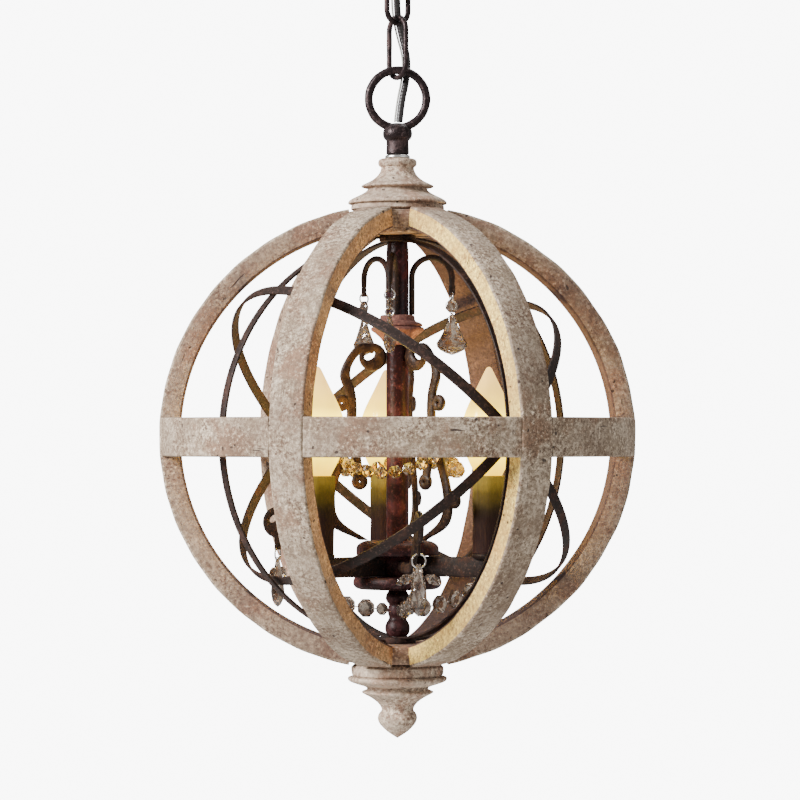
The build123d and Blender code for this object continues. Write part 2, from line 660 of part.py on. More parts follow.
# ---------------------------------------------------------------- lower arms and crystals
def lower_crystals():
    arms = []
    half = CURL_STRAP / 2
    start = HUB_CORE_R + CLEAR
    upper = Spline((start, arm_z + half), (42, arm_z + half), (60, arm_z + half + 3.0),
                   (CURL_REACH - CURL_R + 0.6, CURL_Z + 1))
    lower = Spline((CURL_REACH - 2, CURL_Z - CURL_R + 0.6), (64, arm_z + half - 2.0), (44, arm_z - half),
                   (start, arm_z - half))
    for number in range(3):
        turn = CURL_TURN + 120 * number
        end_z = CURL_Z - CURL_R - 3.0
        end = tab(turn, CURL_REACH, end_z)
        with BuildPart() as arm:
            with BuildSketch(upright(turn)):
                with BuildLine():
                    Polyline(*chords_of(upper, CURVE_CHORDS // 2), *chords_of(lower, CURVE_CHORDS // 2), close=True)
                make_face()
                with Locations((CURL_REACH, CURL_Z)):
                    RegularPolygon(CURL_R, ROUND_FLATS)
                with Locations((CURL_REACH + 3.2, CURL_Z + 2.4)):
                    RegularPolygon(2.8, WIRE_FLATS, mode=Mode.SUBTRACT)
                with Locations((CURL_REACH, CURL_Z - CURL_R)):
                    Rectangle(4.6, 7)
            extrude(amount=CURL_THICK / 2, both=True)
            add(end)
        arms.append(arm.part)
        eye_z = end_z - TAB_DROP
        hole_1 = eye_z - 2 * EYE_R
        hang = hanging_plane(turn, CURL_REACH, 0)
        side = Plane(origin=hang.origin, x_dir=hang.z_dir, z_dir=-hang.x_dir)
        save_group([silver_ring(turn, CURL_REACH, eye_z, EYE_R)], f"lower_ring_{number + 1}")
        top = hole_1 + 2.6
        shape = [(0.0, 0.8, 0.8), (0.08, 3.6, 3.2), (0.30, 5.4, 4.4), (0.62, 4.4, 3.4), (0.86, 2.4, 1.8), (1.0, 1.5, 1.4)]
        sections = [(top - ICICLE_LENGTH * (1 - h), ICICLE_HALF_WIDTH / 5.4 * w, t) for h, w, t in shape]
        stones = [drilled(crystal(side, sections), hang, (hole_1,), ICICLE_HOLE_R)]
        for way in (1, -1):
            lean = Vector(0, 0, cos(radians(WING_TURN))) + hang.z_dir * way * sin(radians(WING_TURN))
            root = Plane(origin=polar(turn, CURL_REACH, hole_1 - 2.6), x_dir=lean.cross(side.z_dir), z_dir=side.z_dir)
            leaf = [(WING_ROOT, 1.0, 0.8), (7.6, 2.8, 1.3), (11.0, 3.4, 1.5), (WING_TIP - 2.2, 2.2, 1.0),
                    (WING_TIP, 0.5, 0.5)]
            stones.append(crystal(root, leaf, 6))
        save_group(stones, f"lower_crystal_{number + 1}")
    save_group(arms, "pendant_arms")


# ---------------------------------------------------------------- garlands
GARLAND = [(68.5, -90.5), (62.4, -102.8), (49.4, -107.6), (35.8, -110.4), (22.1, -112.0), (10.8, -112.4)]
SMALL_BEAD_R = 4.4      # the bead nearest to the neck
SWAG_R = 40.0           # strings of cut beads from scroll to scroll, level with the candles' tops
SWAG_Z = -12.0
SWAG_SAG = 11.0
SWAG_START = 4.0        # degrees from a scroll's middle to the string's end
SWAG_BEADS = 9


def garlands():
    """Three strings of beads on wire, from the arms' undersides to the neck between the hub's balls."""
    stones, pins = [], []
    arm_under = arm_z - CURL_STRAP / 2 + 4.4
    for number in range(3):
        turn = CURL_TURN + 120 * number
        plane = upright(turn)
        for radius, z in GARLAND:
            size = GARLAND_BEAD_R if radius > 20 else SMALL_BEAD_R
            stones.append(bead(hanging_plane(turn, radius, z), 0, size, GARLAND_BEAD_THICK))
        ends = [(GARLAND[0][0] - 4.0, arm_under)] + GARLAND
        sizes = [0.0] + [GARLAND_BEAD_R] * (len(GARLAND) - 1) + [SMALL_BEAD_R]
        for (r1, z1), (r2, z2), size_1, size_2 in zip(ends, ends[1:], sizes, sizes[1:]):
            run = Vector(r2 - r1, z2 - z1, 0)
            way = run.normalized()
            first = Vector(r1, z1, 0) + way * (size_1 + (CLEAR if size_1 else 0))
            last = Vector(r2, z2, 0) - way * (size_2 + CLEAR)
            pins.append(wire_along([plane.from_local_coords(first), plane.from_local_coords(last)],
                                   GARLAND_WIRE / 2, flats=4))
    for number in range(3):
        turns = [SCROLL_TURN + 120 * number + SWAG_START + (120 - 2 * SWAG_START) * share for share in (0, 0.25, 0.5, 0.75, 1)]
        sags = [0, 0.72, 1, 0.72, 0]
        line = Spline(*[polar(turn, SWAG_R, SWAG_Z - SWAG_SAG * sag) for turn, sag in zip(turns, sags)])
        size = line.length / SWAG_BEADS
        for k in range(SWAG_BEADS):
            share = (k + 0.5) / SWAG_BEADS
            along = line % share
            place = Plane(origin=line @ share, x_dir=along, z_dir=along.cross(Vector(0, 0, 1)))
            rows = [[place.from_local_coords(Vector(size * (0.5 * reach) - 0.1 * reach, size * 0.5 * girth * cos(t),
                                                    size * 0.5 * girth * sin(t)))
                     for t in [radians(60 * j) for j in range(6)]] for reach, girth in ((-1, 0.3), (0, 1.0), (1, 0.3))]
            stones.append(skin(rows))
    save_group(stones, "garland_crystals")
    save_group(pins, "garland_pins")


# ---------------------------------------------------------------- lead and earth wire
BOSS_TOP_Z = collar_top + 11.2 + CLEAR
LEAD_ROUTE = [(1.2, 0.2, 0.6), (2.6, 2.2, 14.0), (6.0, 6.6, 29.0), (6.6, 9.6, 43.0), (3.0, 9.2, 57.0), (-0.2, 6.6, 71.0),
              (-0.4, 0.2, 86.0), (-1.0, -6.9, 100.0), (-1.6, -9.4, 116.0), (-2.2, -11.8, 134.0)]
EARTH_ROUTE = [(-2.0, 0.4, 0.4), (-1.2, 3.2, 14.0), (1.6, 7.8, 29.0), (2.6, 10.8, 43.0), (-0.8, 10.2, 57.0),
               (-3.6, 6.8, 71.0), (-3.8, 0.4, 86.0), (-4.1, -8.0, 100.0), (-5.2, -9.6, 116.0), (-6.2, -11.4, 134.0)]


def flex(route, entry, diameter, name, flats):
    """A lead along straight runs joined by arcs, each arc as large as its two runs allow."""
    start_z = ORB_Z + BOSS_TOP_Z
    points = [Vector(x, y, start_z + z) for x, y, z in route] + [Vector(*entry, -CANOPY_DEPTH - CLEAR)]
    radii = []
    for before, corner, after in zip(points, points[1:], points[2:]):
        half_turn = (corner - before).get_angle(after - corner) / 2
        shorter = min((corner - before).length, (after - corner).length)
        radii.append(0.45 * shorter / tan(radians(half_turn)))
    with BuildPart() as lead:
        with BuildLine() as path:
            FilletPolyline(*points, radius=radii)
        with BuildSketch(Plane(origin=points[0], z_dir=points[1] - points[0])):
            RegularPolygon(diameter / 2, flats)
        sweep(path=path.wires()[0])
    print(name, "radii", [round(r) for r in radii], "length", round(path.wires()[0].length, 1),
          "volume share", round(lead.part.volume / (path.wires()[0].length * lead.part.faces().sort_by(Axis.Z)[0].area), 3))
    save(lead.part, name)


def main():
    ceiling_strap()
    canopy()
    canopy_loop()
    chain()
    hang_ring()
    rod()
    blocks()
    finials()
    ribs()
    band()
    cage()
    column()
    lamps()
    scrolls()
    upper_crystals()
    lower_crystals()
    garlands()
    flex(LEAD_ROUTE, LEAD_ENTRY, LEAD_D, "power_lead", 6)
    flex(EARTH_ROUTE, EARTH_ENTRY, EARTH_D, "earth_wire", 4)


main()
print("globe centre", round(ORB_Z, 2), "ring centre", round(ring_z, 2), "links", [round(z, 2) for z in link_top_z])
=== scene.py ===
"""Dressed orb chandelier: weathered wood globe, iron cage, scrolls, cut crystals and lit candle bulbs.

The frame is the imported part's: the origin is on the ceiling, +Z is up, the viewer stands at -Y.  Shapes
are grids of points worked out with numpy in millimetres; meshes are in metres.
"""
from functools import partialmethod

import bpy
import numpy as np
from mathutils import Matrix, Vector


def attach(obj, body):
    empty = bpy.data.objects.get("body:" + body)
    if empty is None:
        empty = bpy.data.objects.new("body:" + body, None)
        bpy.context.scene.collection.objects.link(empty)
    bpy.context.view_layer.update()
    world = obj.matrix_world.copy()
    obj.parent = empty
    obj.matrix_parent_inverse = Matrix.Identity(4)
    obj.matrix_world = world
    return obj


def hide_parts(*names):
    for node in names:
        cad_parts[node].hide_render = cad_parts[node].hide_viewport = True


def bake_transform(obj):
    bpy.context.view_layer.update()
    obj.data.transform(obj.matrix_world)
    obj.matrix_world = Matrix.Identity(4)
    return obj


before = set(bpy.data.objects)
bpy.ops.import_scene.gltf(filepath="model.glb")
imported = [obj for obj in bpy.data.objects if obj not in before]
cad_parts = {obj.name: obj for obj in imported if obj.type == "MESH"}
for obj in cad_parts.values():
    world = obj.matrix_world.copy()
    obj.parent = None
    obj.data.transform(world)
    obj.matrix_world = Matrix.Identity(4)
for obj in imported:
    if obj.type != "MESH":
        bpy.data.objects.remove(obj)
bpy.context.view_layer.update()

MM = 0.001
TAU = 2 * np.pi
UP = np.array([0, 0, 1.0])
ORB_Z = -402.15  # the globe's centre; heights below are measured from it


def scaled(colour, share):
    return tuple(share * c for c in colour)


# ======== finishes
class Look:
    """A new material with its Principled shader, and short ways to add and join nodes."""

    def __init__(self, name, roughness, metallic=0.0, **sockets):
        self.material = bpy.data.materials.new(name)
        self.material.use_nodes = True
        self.tree = self.material.node_tree
        self.surface(Roughness=roughness, Metallic=metallic, **sockets)

    def surface(self, **sockets):
        """Feeds the shader's own sockets; an underscore stands for a space in their names."""
        for name, value in sockets.items():
            self.feed(self.tree.nodes["Principled BSDF"].inputs[name.replace("_", " ")], value)

    def feed(self, socket, value):
        """Joins a node's output to the socket, or sets its value; a colour is given as RGB."""
        if isinstance(value, bpy.types.NodeSocket):
            self.tree.links.new(value, socket)
        else:
            socket.default_value = (*value, 1) if socket.type == "RGBA" else value

    def add(self, kind, inputs=None, **settings):
        """A new shader node; its inputs are given by name or number."""
        node = self.tree.nodes.new("ShaderNode" + kind)
        for name, value in settings.items():
            setattr(node, name, value)
        for name, value in (inputs or {}).items():
            self.feed(node.inputs[name], value)
        return node

    def solid(self):
        """The coordinate in the part's frame, in metres."""
        return self.add("TexCoord").outputs["Object"]

    def lie(self):
        """The coordinate along and round a piece, in metres: its UV map."""
        return self.add("UVMap", uv_map="lie").outputs["UV"]

    def ramp(self, source, stops):
        """A colour ramp fed by source; stops are (position, colour)."""
        node = self.add("ValToRGB", {"Fac": source})
        elements = node.color_ramp.elements
        elements.remove(elements[0])
        elements[0].position, elements[0].color = stops[0][0], (*stops[0][1], 1)
        for position, colour in stops[1:]:
            elements.new(position).color = (*colour, 1)
        return node.outputs["Color"]

    def mask(self, source, low, high):
        """0 at low, 1 at high, smooth between; low may be the larger."""
        return self.add("MapRange", {"From Min": low, "From Max": high, "Value": source},
                        interpolation_type="SMOOTHSTEP").outputs["Result"]

    def rise(self, at, low, high):
        """A mask that climbs from one height of the globe to another."""
        height = self.add("SeparateXYZ", {0: at}).outputs["Z"]
        return self.mask(height, (ORB_Z + low) * MM, (ORB_Z + high) * MM)

    def noise(self, at, scale, detail, rough, stretch=None):
        """Fractal noise at a coordinate, stretched first if asked."""
        if stretch:
            at = self.add("Mapping", {"Scale": stretch, "Vector": at}).outputs["Vector"]
        inputs = {"Scale": scale, "Detail": detail, "Roughness": rough, "Vector": at}
        return self.add("TexNoise", inputs).outputs["Fac"]

    def shifted(self, at):
        """The coordinate, pushed about a little so that no pattern repeats in rows."""
        push = self.add("TexNoise", {"Scale": 60, "Vector": at}).outputs["Color"]
        push = self.add("VectorMath", {0: push, "Scale": 0.012}, operation="SCALE").outputs[0]
        return self.add("VectorMath", {0: at, 1: push}, operation="ADD").outputs[0]

    def blend(self, share, first, second):
        """The first colour where share is 0, the second where it is 1."""
        return self.add("Mix", {0: share, 6: first, 7: second}, data_type="RGBA").outputs[2]

    def reckon(self, operation, first, second):
        return self.add("Math", {0: first, 1: second}, operation=operation).outputs[0]

    times = partialmethod(reckon, "MULTIPLY")
    plus = partialmethod(reckon, "ADD")
    minus = partialmethod(reckon, "SUBTRACT")
    most = partialmethod(reckon, "MAXIMUM")

    def relief(self, height, depth, strength):
        """Bumps of that depth in metres."""
        inputs = {"Distance": depth, "Strength": strength, "Height": height}
        self.surface(Normal=self.add("Bump", inputs).outputs["Normal"])


def aged_wood(name, pale, warm, dark, grey, warm_share, hand=1.0):
    """Limed wood: a pale wash mottled with grey over warm bare patches, fine grain along the piece's
    own length, worm holes and short cracks.  hand scales how fine the mottling is."""
    look = Look(name, roughness=0.86)
    solid, along = look.solid(), look.lie()
    patches = look.noise(solid, 24, 7, 0.66)
    bare = look.mask(patches, 0.57 - 0.16 * warm_share, 0.66 - 0.12 * warm_share)
    weather = look.mask(look.noise(solid, 46, 9, 0.74), 0.44, 0.60)
    flakes = look.mask(look.noise(look.shifted(solid), 330 * hand, 5, 0.70), 0.485, 0.535)
    soil = look.mask(look.noise(solid, 17, 5, 0.6), 0.40, 0.68)
    fine = look.noise(solid, 480 * hand, 5, 0.80)
    busy = look.mask(look.noise(solid, 38, 4, 0.6), 0.36, 0.64)
    grain = look.noise(along, 1, 6, 0.72, (70, 1300, 1))
    streaks = look.mask(grain, 0.43, 0.66)
    flake_colour = tuple(0.45 * g + 0.55 * d for g, d in zip(grey, dark))
    pepper = look.times(look.mask(fine, 0.490, 0.425), look.plus(look.times(busy, 0.60), 0.42))
    salt = look.times(look.mask(fine, 0.545, 0.64), look.plus(look.times(busy, 0.45), 0.42))
    base = look.blend(weather, pale, grey)
    coats = [(bare, warm), (look.times(flakes, 0.55), flake_colour), (look.times(streaks, 0.34), dark),
             (pepper, dark), (salt, scaled(pale, 1.8)), (look.times(soil, 0.45), dark)]
    for share, colour in coats:
        base = look.blend(share, base, colour)
    spots = look.add("TexVoronoi", {"Scale": 150, "Vector": look.shifted(solid)}, feature="F1")
    holes = look.mask(spots.outputs["Distance"], 0.165, 0.11)
    holes = look.times(holes, look.mask(look.noise(solid, 34, 2, 0.5), 0.53, 0.58))
    cracks = look.mask(look.noise(along, 1, 2, 0.5, (32, 340, 1)), 0.715, 0.745)
    marks = look.most(holes, cracks)
    look.surface(Base_Color=look.blend(look.times(marks, 0.88), base, (0.04, 0.022, 0.016)))
    height = look.plus(look.times(grain, 0.40), look.times(fine, 0.65))
    look.relief(look.minus(height, look.times(marks, 1.6)), 0.0009, 1.0)
    return look.material


def forged_iron(name, dark, rust, rust_from, rough, metallic):
    """Blackened iron with rust blooms, brighter specks of rust on top and a hammered, pitted skin."""
    look = Look(name, rough, metallic, Specular_IOR_Level=0.22)
    solid = look.solid()
    bloom = look.mask(look.noise(solid, 75, 7, 0.66), rust_from, rust_from + 0.17)
    fine = look.noise(solid, 520, 6, 0.7)
    speck = look.times(look.mask(fine, 0.52, 0.66), 0.45)
    base = look.blend(bloom, dark, rust)
    base = look.blend(speck, base, tuple(min(1.0, 2.1 * c + 0.02) for c in rust))
    look.surface(Base_Color=base, Roughness=look.plus(look.times(bloom, 0.26), rough))
    pits = look.noise(solid, 230, 4, 0.6)
    look.relief(look.plus(look.times(pits, 0.7), look.times(fine, 0.3)), 0.0007, 0.8)
    return look.material


def cut_crystal(name, clear, smoky):
    """Lead glass with an uneven smoky tint, and painted shade: a facet seen edge on is coloured darker.
    """
    look = Look(name, roughness=0.015, IOR=1.66, Transmission_Weight=0.95)
    tint = look.ramp(look.noise(look.solid(), 150, 3, 0.5), [(0.40, clear), (0.60, smoky)])
    # painted shade: the colour darkens where a facet is seen edge on
    facing = look.add("LayerWeight", {"Blend": 0.5}).outputs["Facing"]
    edge = look.times(look.mask(facing, 0.30, 0.80), 0.8)
    look.surface(Base_Color=look.blend(edge, tint, scaled(smoky, 0.30)))
    return look.material


def lit_glass():
    """Opal bulb glass that glows: brightest half way up, where the filament is, cream at the tip."""
    look = Look("lit_glass", roughness=0.18)
    solid = look.solid()
    rise = look.rise(solid, -30, 46)
    glow = look.ramp(rise, [(0, (1, 0.58, 0)), (0.2, (1, 0.76, 0.02)), (0.48, (1, 0.73, 0.02)),
                            (0.8, (1, 0.65, 0.09)), (1, (1, 0.61, 0.17))])
    levels = [(0, 0.4), (0.25, 0.9), (0.5, 1), (0.72, 0.46), (1, 0.34)]
    power = look.ramp(rise, [(at, (level,) * 3) for at, level in levels])
    streak = look.noise(solid, 40, 3, 0.5)
    look.surface(Base_Color=look.blend(0.8, glow, (0.1, 0.06, 0.01)), Emission_Color=glow,
                 Emission_Strength=look.times(look.times(power, 6.4), look.plus(streak, 0.6)))
    return look.material


def smoked_sleeve():
    """Candle tube: rust brown below, with drip streaks; towards the bulb a painted lamp light turns it
    olive-yellow and a painted glow makes it shine.
    """
    look = Look("smoked_sleeve", roughness=0.7, Specular_IOR_Level=0.2)
    solid = look.solid()
    rise = look.rise(solid, -75, -24)
    streak = look.noise(solid, 1, 6, 0.66, (420, 420, 45))
    patch = look.noise(solid, 90, 5, 0.6)
    shifted = look.plus(rise, look.times(look.minus(patch, 0.5), 0.45))
    # painted lamp light: the colour climbs from the tube's dark rust brown to olive-yellow towards the
    # bulb
    base = look.ramp(shifted, [(0, (0.02, 0.006, 0.005)), (0.4, (0.022, 0.008, 0.004)),
                               (0.62, (0.03, 0.017, 0.003)), (0.85, (0.085, 0.055, 0.005)),
                               (1, (0.21, 0.14, 0.018))])
    drips = look.times(look.mask(streak, 0.52, 0.68), 0.5)
    # painted glow: near the bulb the tube emits light, though it is no lamp
    light = look.ramp(rise, [(0.55, (0, 0, 0)), (0.85, (0.06, 0.04, 0.002)), (1, (0.2, 0.135, 0.01))])
    look.surface(Base_Color=look.blend(drips, base, (0.05, 0.022, 0.011)), Emission_Color=light,
                 Emission_Strength=0.6)
    look.relief(streak, 0.0008, 0.8)
    return look.material


def plain_metal(name, colour, rough, metallic=1.0):
    """A metal with a faint drawn or plated grain."""
    look = Look(name, rough, metallic)
    fine = look.noise(look.solid(), 600, 4, 0.6)
    look.surface(Base_Color=look.ramp(fine, [(0.3, scaled(colour, 0.78)), (0.7, colour)]))
    look.relief(fine, 0.0002, 0.4)
    return look.material


def lead_sheath(name, colour, ridge):
    """Plastic or braid of a lead: fine ridges round it."""
    look = Look(name, roughness=0.42)
    wave = look.add("TexWave", {"Scale": ridge, "Distortion": 0.6, "Vector": look.lie()},
                    wave_type="BANDS", bands_direction="X").outputs["Fac"]
    look.surface(Base_Color=look.ramp(wave, [(0.2, scaled(colour, 0.6)), (0.8, colour)]))
    look.relief(wave, 0.0002, 0.5)
    return look.material


# woods: pale wash, warm patches, dark grain, grey mottling
limed_face = aged_wood("limed_face", (0.565, 0.455, 0.34), (0.29, 0.17, 0.104),
                       (0.118, 0.068, 0.042), (0.31, 0.232, 0.156), 0.42)
bare_side = aged_wood("bare_side", (0.4, 0.29, 0.2), (0.26, 0.14, 0.088),
                      (0.11, 0.06, 0.04), (0.28, 0.195, 0.138), 0.62)
# painted lamp light: these two side finishes are coloured amber and gold for the lamps' warm light
# falling on them
amber_lamplit_side = aged_wood("amber_lamplit_side", (0.62, 0.37, 0.18), (0.4, 0.175, 0.075),
                       (0.16, 0.08, 0.036), (0.42, 0.245, 0.13), 0.45)
golden_lamplit_side = aged_wood("golden_lamplit_side", (0.98, 0.72, 0.2), (0.8, 0.47, 0.1),
                        (0.3, 0.15, 0.05), (0.8, 0.56, 0.16), 0.45)
# the ribs' inner faces: coloured much darker than their outer faces
dark_inside_face = aged_wood("dark_inside_face", (0.12, 0.068, 0.054), (0.084, 0.039, 0.032),
                           (0.036, 0.018, 0.016), (0.092, 0.054, 0.045), 0.6)
turned_wood = aged_wood("turned_wood", (0.62, 0.5, 0.375), (0.44, 0.27, 0.175),
                        (0.19, 0.112, 0.076), (0.43, 0.32, 0.232), 0.35, 0.9)
rosy_wood = aged_wood("rosy_wood", (0.3, 0.13, 0.09), (0.21, 0.075, 0.05),
                      (0.085, 0.03, 0.024), (0.23, 0.1, 0.072), 0.5)
# irons: black, rust, where rust begins, roughness, metallic
black_iron = forged_iron("black_iron", (0.015, 0.008, 0.0062), (0.052, 0.024, 0.017), 0.5, 0.55, 0.05)
ring_iron = forged_iron("ring_iron", (0.017, 0.0105, 0.011), (0.062, 0.038, 0.037), 0.5, 0.36, 0.5)
red_iron = forged_iron("red_iron", (0.013, 0.0036, 0.0042), (0.048, 0.0095, 0.0105), 0.5, 0.28, 0.15)
hub_iron = forged_iron("hub_iron", (0.018, 0.006, 0.0066), (0.066, 0.021, 0.021), 0.47, 0.36, 0.15)
scroll_iron = forged_iron("scroll_iron", (0.015, 0.007, 0.005), (0.048, 0.022, 0.008), 0.47, 0.4, 0.15)
crystal_glass = cut_crystal("crystal_glass", (0.86, 0.74, 0.62), (0.27, 0.17, 0.12))
amber_glass = cut_crystal("amber_glass", (0.95, 0.76, 0.36), (0.66, 0.38, 0.09))
bulb_light = lit_glass()
sleeve_finish = smoked_sleeve()
nickel = plain_metal("nickel", (0.86, 0.85, 0.82), 0.28)
silver = plain_metal("silver", (0.9, 0.89, 0.87), 0.16)
brass_cap = plain_metal("brass_cap", (0.72, 0.55, 0.28), 0.35)
dark_plastic = plain_metal("dark_plastic", (0.05, 0.045, 0.04), 0.5, 0.0)
lead_finish = lead_sheath("lead_finish", (0.02, 0.016, 0.016), 140)
earth_finish = lead_sheath("earth_finish", (0.62, 0.6, 0.55), 420)


# ======== directions and lines
def unit(vectors):
    return vectors / np.linalg.norm(vectors, axis=-1, keepdims=True)


def out_from(turn):
    """The outward direction at an angle in degrees."""
    return np.array([np.cos(np.radians(turn)), np.sin(np.radians(turn)), 0.0])


def aside(turn):
    """The level direction square to the outward one."""
    return np.array([-np.sin(np.radians(turn)), np.cos(np.radians(turn)), 0.0])


def thirds(turn):
    """The three places round the column: (number from 1, angle in degrees)."""
    return [(number, turn + 120 * (number - 1)) for number in (1, 2, 3)]


def circle(count):
    """Angles once round, without the last."""
    return np.linspace(0, TAU, count, endpoint=False)


def lengths(line, closed=False):
    """The distance along a row of points, from 0; back to the first point if it is closed."""
    line = np.vstack([line, line[:1]]) if closed else line
    return np.concatenate([[0], np.cumsum(np.linalg.norm(np.diff(line, axis=0), axis=1))])


def lattice(rows, columns):
    """Each row's value with each column's: (rows, columns, 2)."""
    return np.stack(np.broadcast_arrays(rows[:, None], columns[None]), -1)


def round_axis(reach, turn, height, centre=(0, 0)):
    """Points at a distance and an angle in radians from an upright axis."""
    return np.stack(np.broadcast_arrays(centre[0] + reach * np.cos(turn),
                                        centre[1] + reach * np.sin(turn), height), -1)


def stand_up(flat, turn, side=0.0, lift=ORB_Z):
    """Points (radius, height) of the upright plane at that angle, as (x, y, z), moved aside."""
    flat = np.asarray(flat, float)
    moved = np.asarray(side)[..., None] * aside(turn)
    return flat[..., :1] * out_from(turn) + UP * (flat[..., 1:] + lift) + moved


def rounded(profile, cuts, closed=False):
    """Cuts the corners of a row of points, so that a turner's profile gets small roundings."""
    line = np.asarray(profile, float)
    for _ in range(cuts):
        after = np.roll(line, -1, 0) if closed else line[1:]
        before = line if closed else line[:-1]
        cut = np.stack([0.75 * before + 0.25 * after, 0.25 * before + 0.75 * after], 1).reshape(-1, 2)
        line = cut if closed else np.vstack([line[:1], cut, line[-1:]])
    return line


def even(points, count):
    """A smooth line through points (Catmull-Rom), resampled at even steps."""
    p = np.asarray(points, float)
    p = np.vstack([2 * p[0] - p[1], p, 2 * p[-1] - p[-2]])
    t = np.linspace(0, 1, 24, endpoint=False)[:, None, None]
    a, b, c, d = p[:-3], p[1:-2], p[2:-1], p[3:]
    curve = 0.5 * (2 * b + (c - a) * t + (2 * a - 5 * b + 4 * c - d) * t ** 2
                   + (3 * b - a - 3 * c + d) * t ** 3)
    curve = np.vstack([curve.transpose(1, 0, 2).reshape(-1, p.shape[1]), p[-2]])
    steps = lengths(curve)
    at = np.linspace(0, steps[-1], count)
    return np.stack([np.interp(at, steps, values) for values in curve.T], -1)


# ======== surfaces
def grid(points, uv=None, wrap_u=False, shade=0):
    """A skin over points (rows, columns, 3) that runs round its columns.  Its first and last rows meet
    if wrap_u, else each is closed with one face.  shade is the slot of its faces."""
    rows, columns = points.shape[:2]
    i, j = np.meshgrid(np.arange(rows - (not wrap_u)), np.arange(columns), indexing="ij")
    ni, nj = (i + 1) % rows * columns, (j + 1) % columns
    quads = np.stack([i * columns + j, ni + j, ni + nj, i * columns + nj], -1).reshape(-1, 4)
    if uv is None:
        uv = np.zeros((rows + wrap_u, columns + 1, 2))
    spread = np.stack([uv[i, j], uv[i + 1, j], uv[i + 1, j + 1], uv[i, j + 1]], -2).reshape(-1, 4, 2)
    slots = np.broadcast_to(shade, i.shape).reshape(-1)
    ring = np.arange(columns)
    caps = [] if wrap_u else [ring, (rows - 1) * columns + ring[::-1]]
    flat = points.reshape(-1, 3)
    a, b, c, d = (flat[quads[:, k]] for k in range(4))
    volume = np.sum(a * (np.cross(b, c) + np.cross(c, d)))
    volume += sum(np.sum(flat[cap[0]] * np.cross(flat[cap[1:-1]], flat[cap[2:]])) for cap in caps)
    if volume < 0:  # inside out
        quads, spread = quads[:, ::-1], spread[:, ::-1]
        caps = [cap[::-1] for cap in caps]
    return {"verts": flat, "faces": quads, "uv": spread, "slots": slots, "caps": caps}


def new_object(name, data):
    obj = bpy.data.objects.new(name, data)
    bpy.context.collection.objects.link(obj)
    return obj


def piece(name, skins, body, node, *finishes, faceted=False):
    """One object from skins, its place in its mesh; it rides on a body and stands for a CAD node.
    A faceted one keeps flat faces and has no UV map."""
    starts = np.cumsum([0] + [len(s["verts"]) for s in skins])
    faces, slots, spread = [], [], []
    for s, start in zip(skins, starts):
        faces += (s["faces"] + start).tolist() + [(cap + start).tolist() for cap in s["caps"]]
        slots += s["slots"].tolist() + [int(s["slots"][0])] * len(s["caps"])
        spread += [s["uv"].reshape(-1, 2)] + [s["verts"][cap][:, :2] for cap in s["caps"]]
    mesh = bpy.data.meshes.new(name)
    mesh.from_pydata((np.concatenate([s["verts"] for s in skins]) * MM).tolist(), [], faces)
    for finish in finishes:
        mesh.materials.append(finish)
    if not faceted:
        mesh.uv_layers.new(name="lie").data.foreach_set("uv", (np.concatenate(spread) * MM).ravel())
        mesh.polygons.foreach_set("material_index", slots)
        mesh.polygons.foreach_set("use_smooth", [True] * len(faces))
    mesh.validate()
    obj = new_object(name, mesh)
    if not faceted:
        mesh.set_sharp_from_angle(angle=np.radians(38))
    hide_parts(node)
    if body:
        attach(obj, body)
    return obj


BORE = 5.2  # radius of the hole for the pipe


def turned(profile, centre=(0, 0), lift=ORB_Z, sides=64, wobble=0.0, cuts=2):
    """Turned on a lathe: (height, radius) points from the bottom up, swept through a full turn.
    wobble is the hand-worn unevenness of the radius."""
    line = rounded(profile, cuts)
    height, radius = line[:, :1], line[:, 1:]
    turn = circle(sides)
    reach = radius + wobble * np.sin(3 * turn + height * 0.31) * np.sin(2 * turn + 1.3 + height * 0.17)
    reach = np.where(radius < 0.6, radius, reach)  # the tips stay on the axis
    uv = lattice(lengths(line), np.linspace(0, TAU, sides + 1) * radius.max())[..., ::-1]
    return grid(round_axis(reach, turn, lift + height, centre), uv)


def lathe(name, profile, node, finish, bore=BORE, **ways):
    """A turned piece of the globe, with a hole through it if it has a bore."""
    if bore:
        profile = [(profile[0][0], bore), *profile, (profile[-1][0], bore)]
    piece(name, [turned(profile, **ways)], "globe", node, finish)


def swept(path, section, across, closed=False, taper=1.0):
    """A section (columns, 2) carried along a path: its first coordinate lies along the across
    direction made square to the path, its second along their cross product."""
    ahead = np.roll(path, -1, 0) - np.roll(path, 1, 0) if closed else np.gradient(path, axis=0)
    tangent = unit(ahead)
    across = np.broadcast_to(across, path.shape)
    first = unit(across - np.sum(across * tangent, 1, keepdims=True) * tangent)
    second = np.cross(tangent, first)
    rows = section * np.broadcast_to(taper, len(path))[:, None, None]
    points = path[:, None] + rows[..., :1] * first[:, None] + rows[..., 1:] * second[:, None]
    return grid(points, lattice(lengths(path, closed), lengths(rows[0], True)), wrap_u=closed)


def round_section(radius, sides=16):
    turn = circle(sides)
    return radius * np.stack([np.cos(turn), np.sin(turn)], -1)


def bar_section(width, thick, corner, steps):
    """A rectangle with rounded corners, each a quarter circle in steps."""
    turn = np.concatenate([np.linspace(q, q + TAU / 4, steps + 1) for q in np.arange(4) * TAU / 4])
    middle = np.repeat([[1, 1], [-1, 1], [-1, -1], [1, -1]], steps + 1, 0)
    bends = corner * np.stack([np.cos(turn), np.sin(turn)], -1)
    return middle * [width / 2 - corner, thick / 2 - corner] + bends


def between(first, second, turn, thick, closed=False):
    """A flat-iron shape whose outline runs between two lines, pillowed across: its section is a
    superellipse."""
    sides, power = 20, 2.6
    angle = circle(sides)
    reach, swell = (np.sign(way) * np.abs(way) ** (2 / power) for way in (np.cos(angle), np.sin(angle)))
    middle, half = (first + second) / 2, (second - first) / 2
    flat = middle[:, None] + half[:, None] * reach[None, :, None]
    girth = 12.0  # near enough for the grain
    uv = lattice(lengths(middle, True)[:len(first) + closed], np.linspace(0, girth, sides + 1))
    return grid(stand_up(flat, turn, swell * thick / 2), uv, wrap_u=closed)


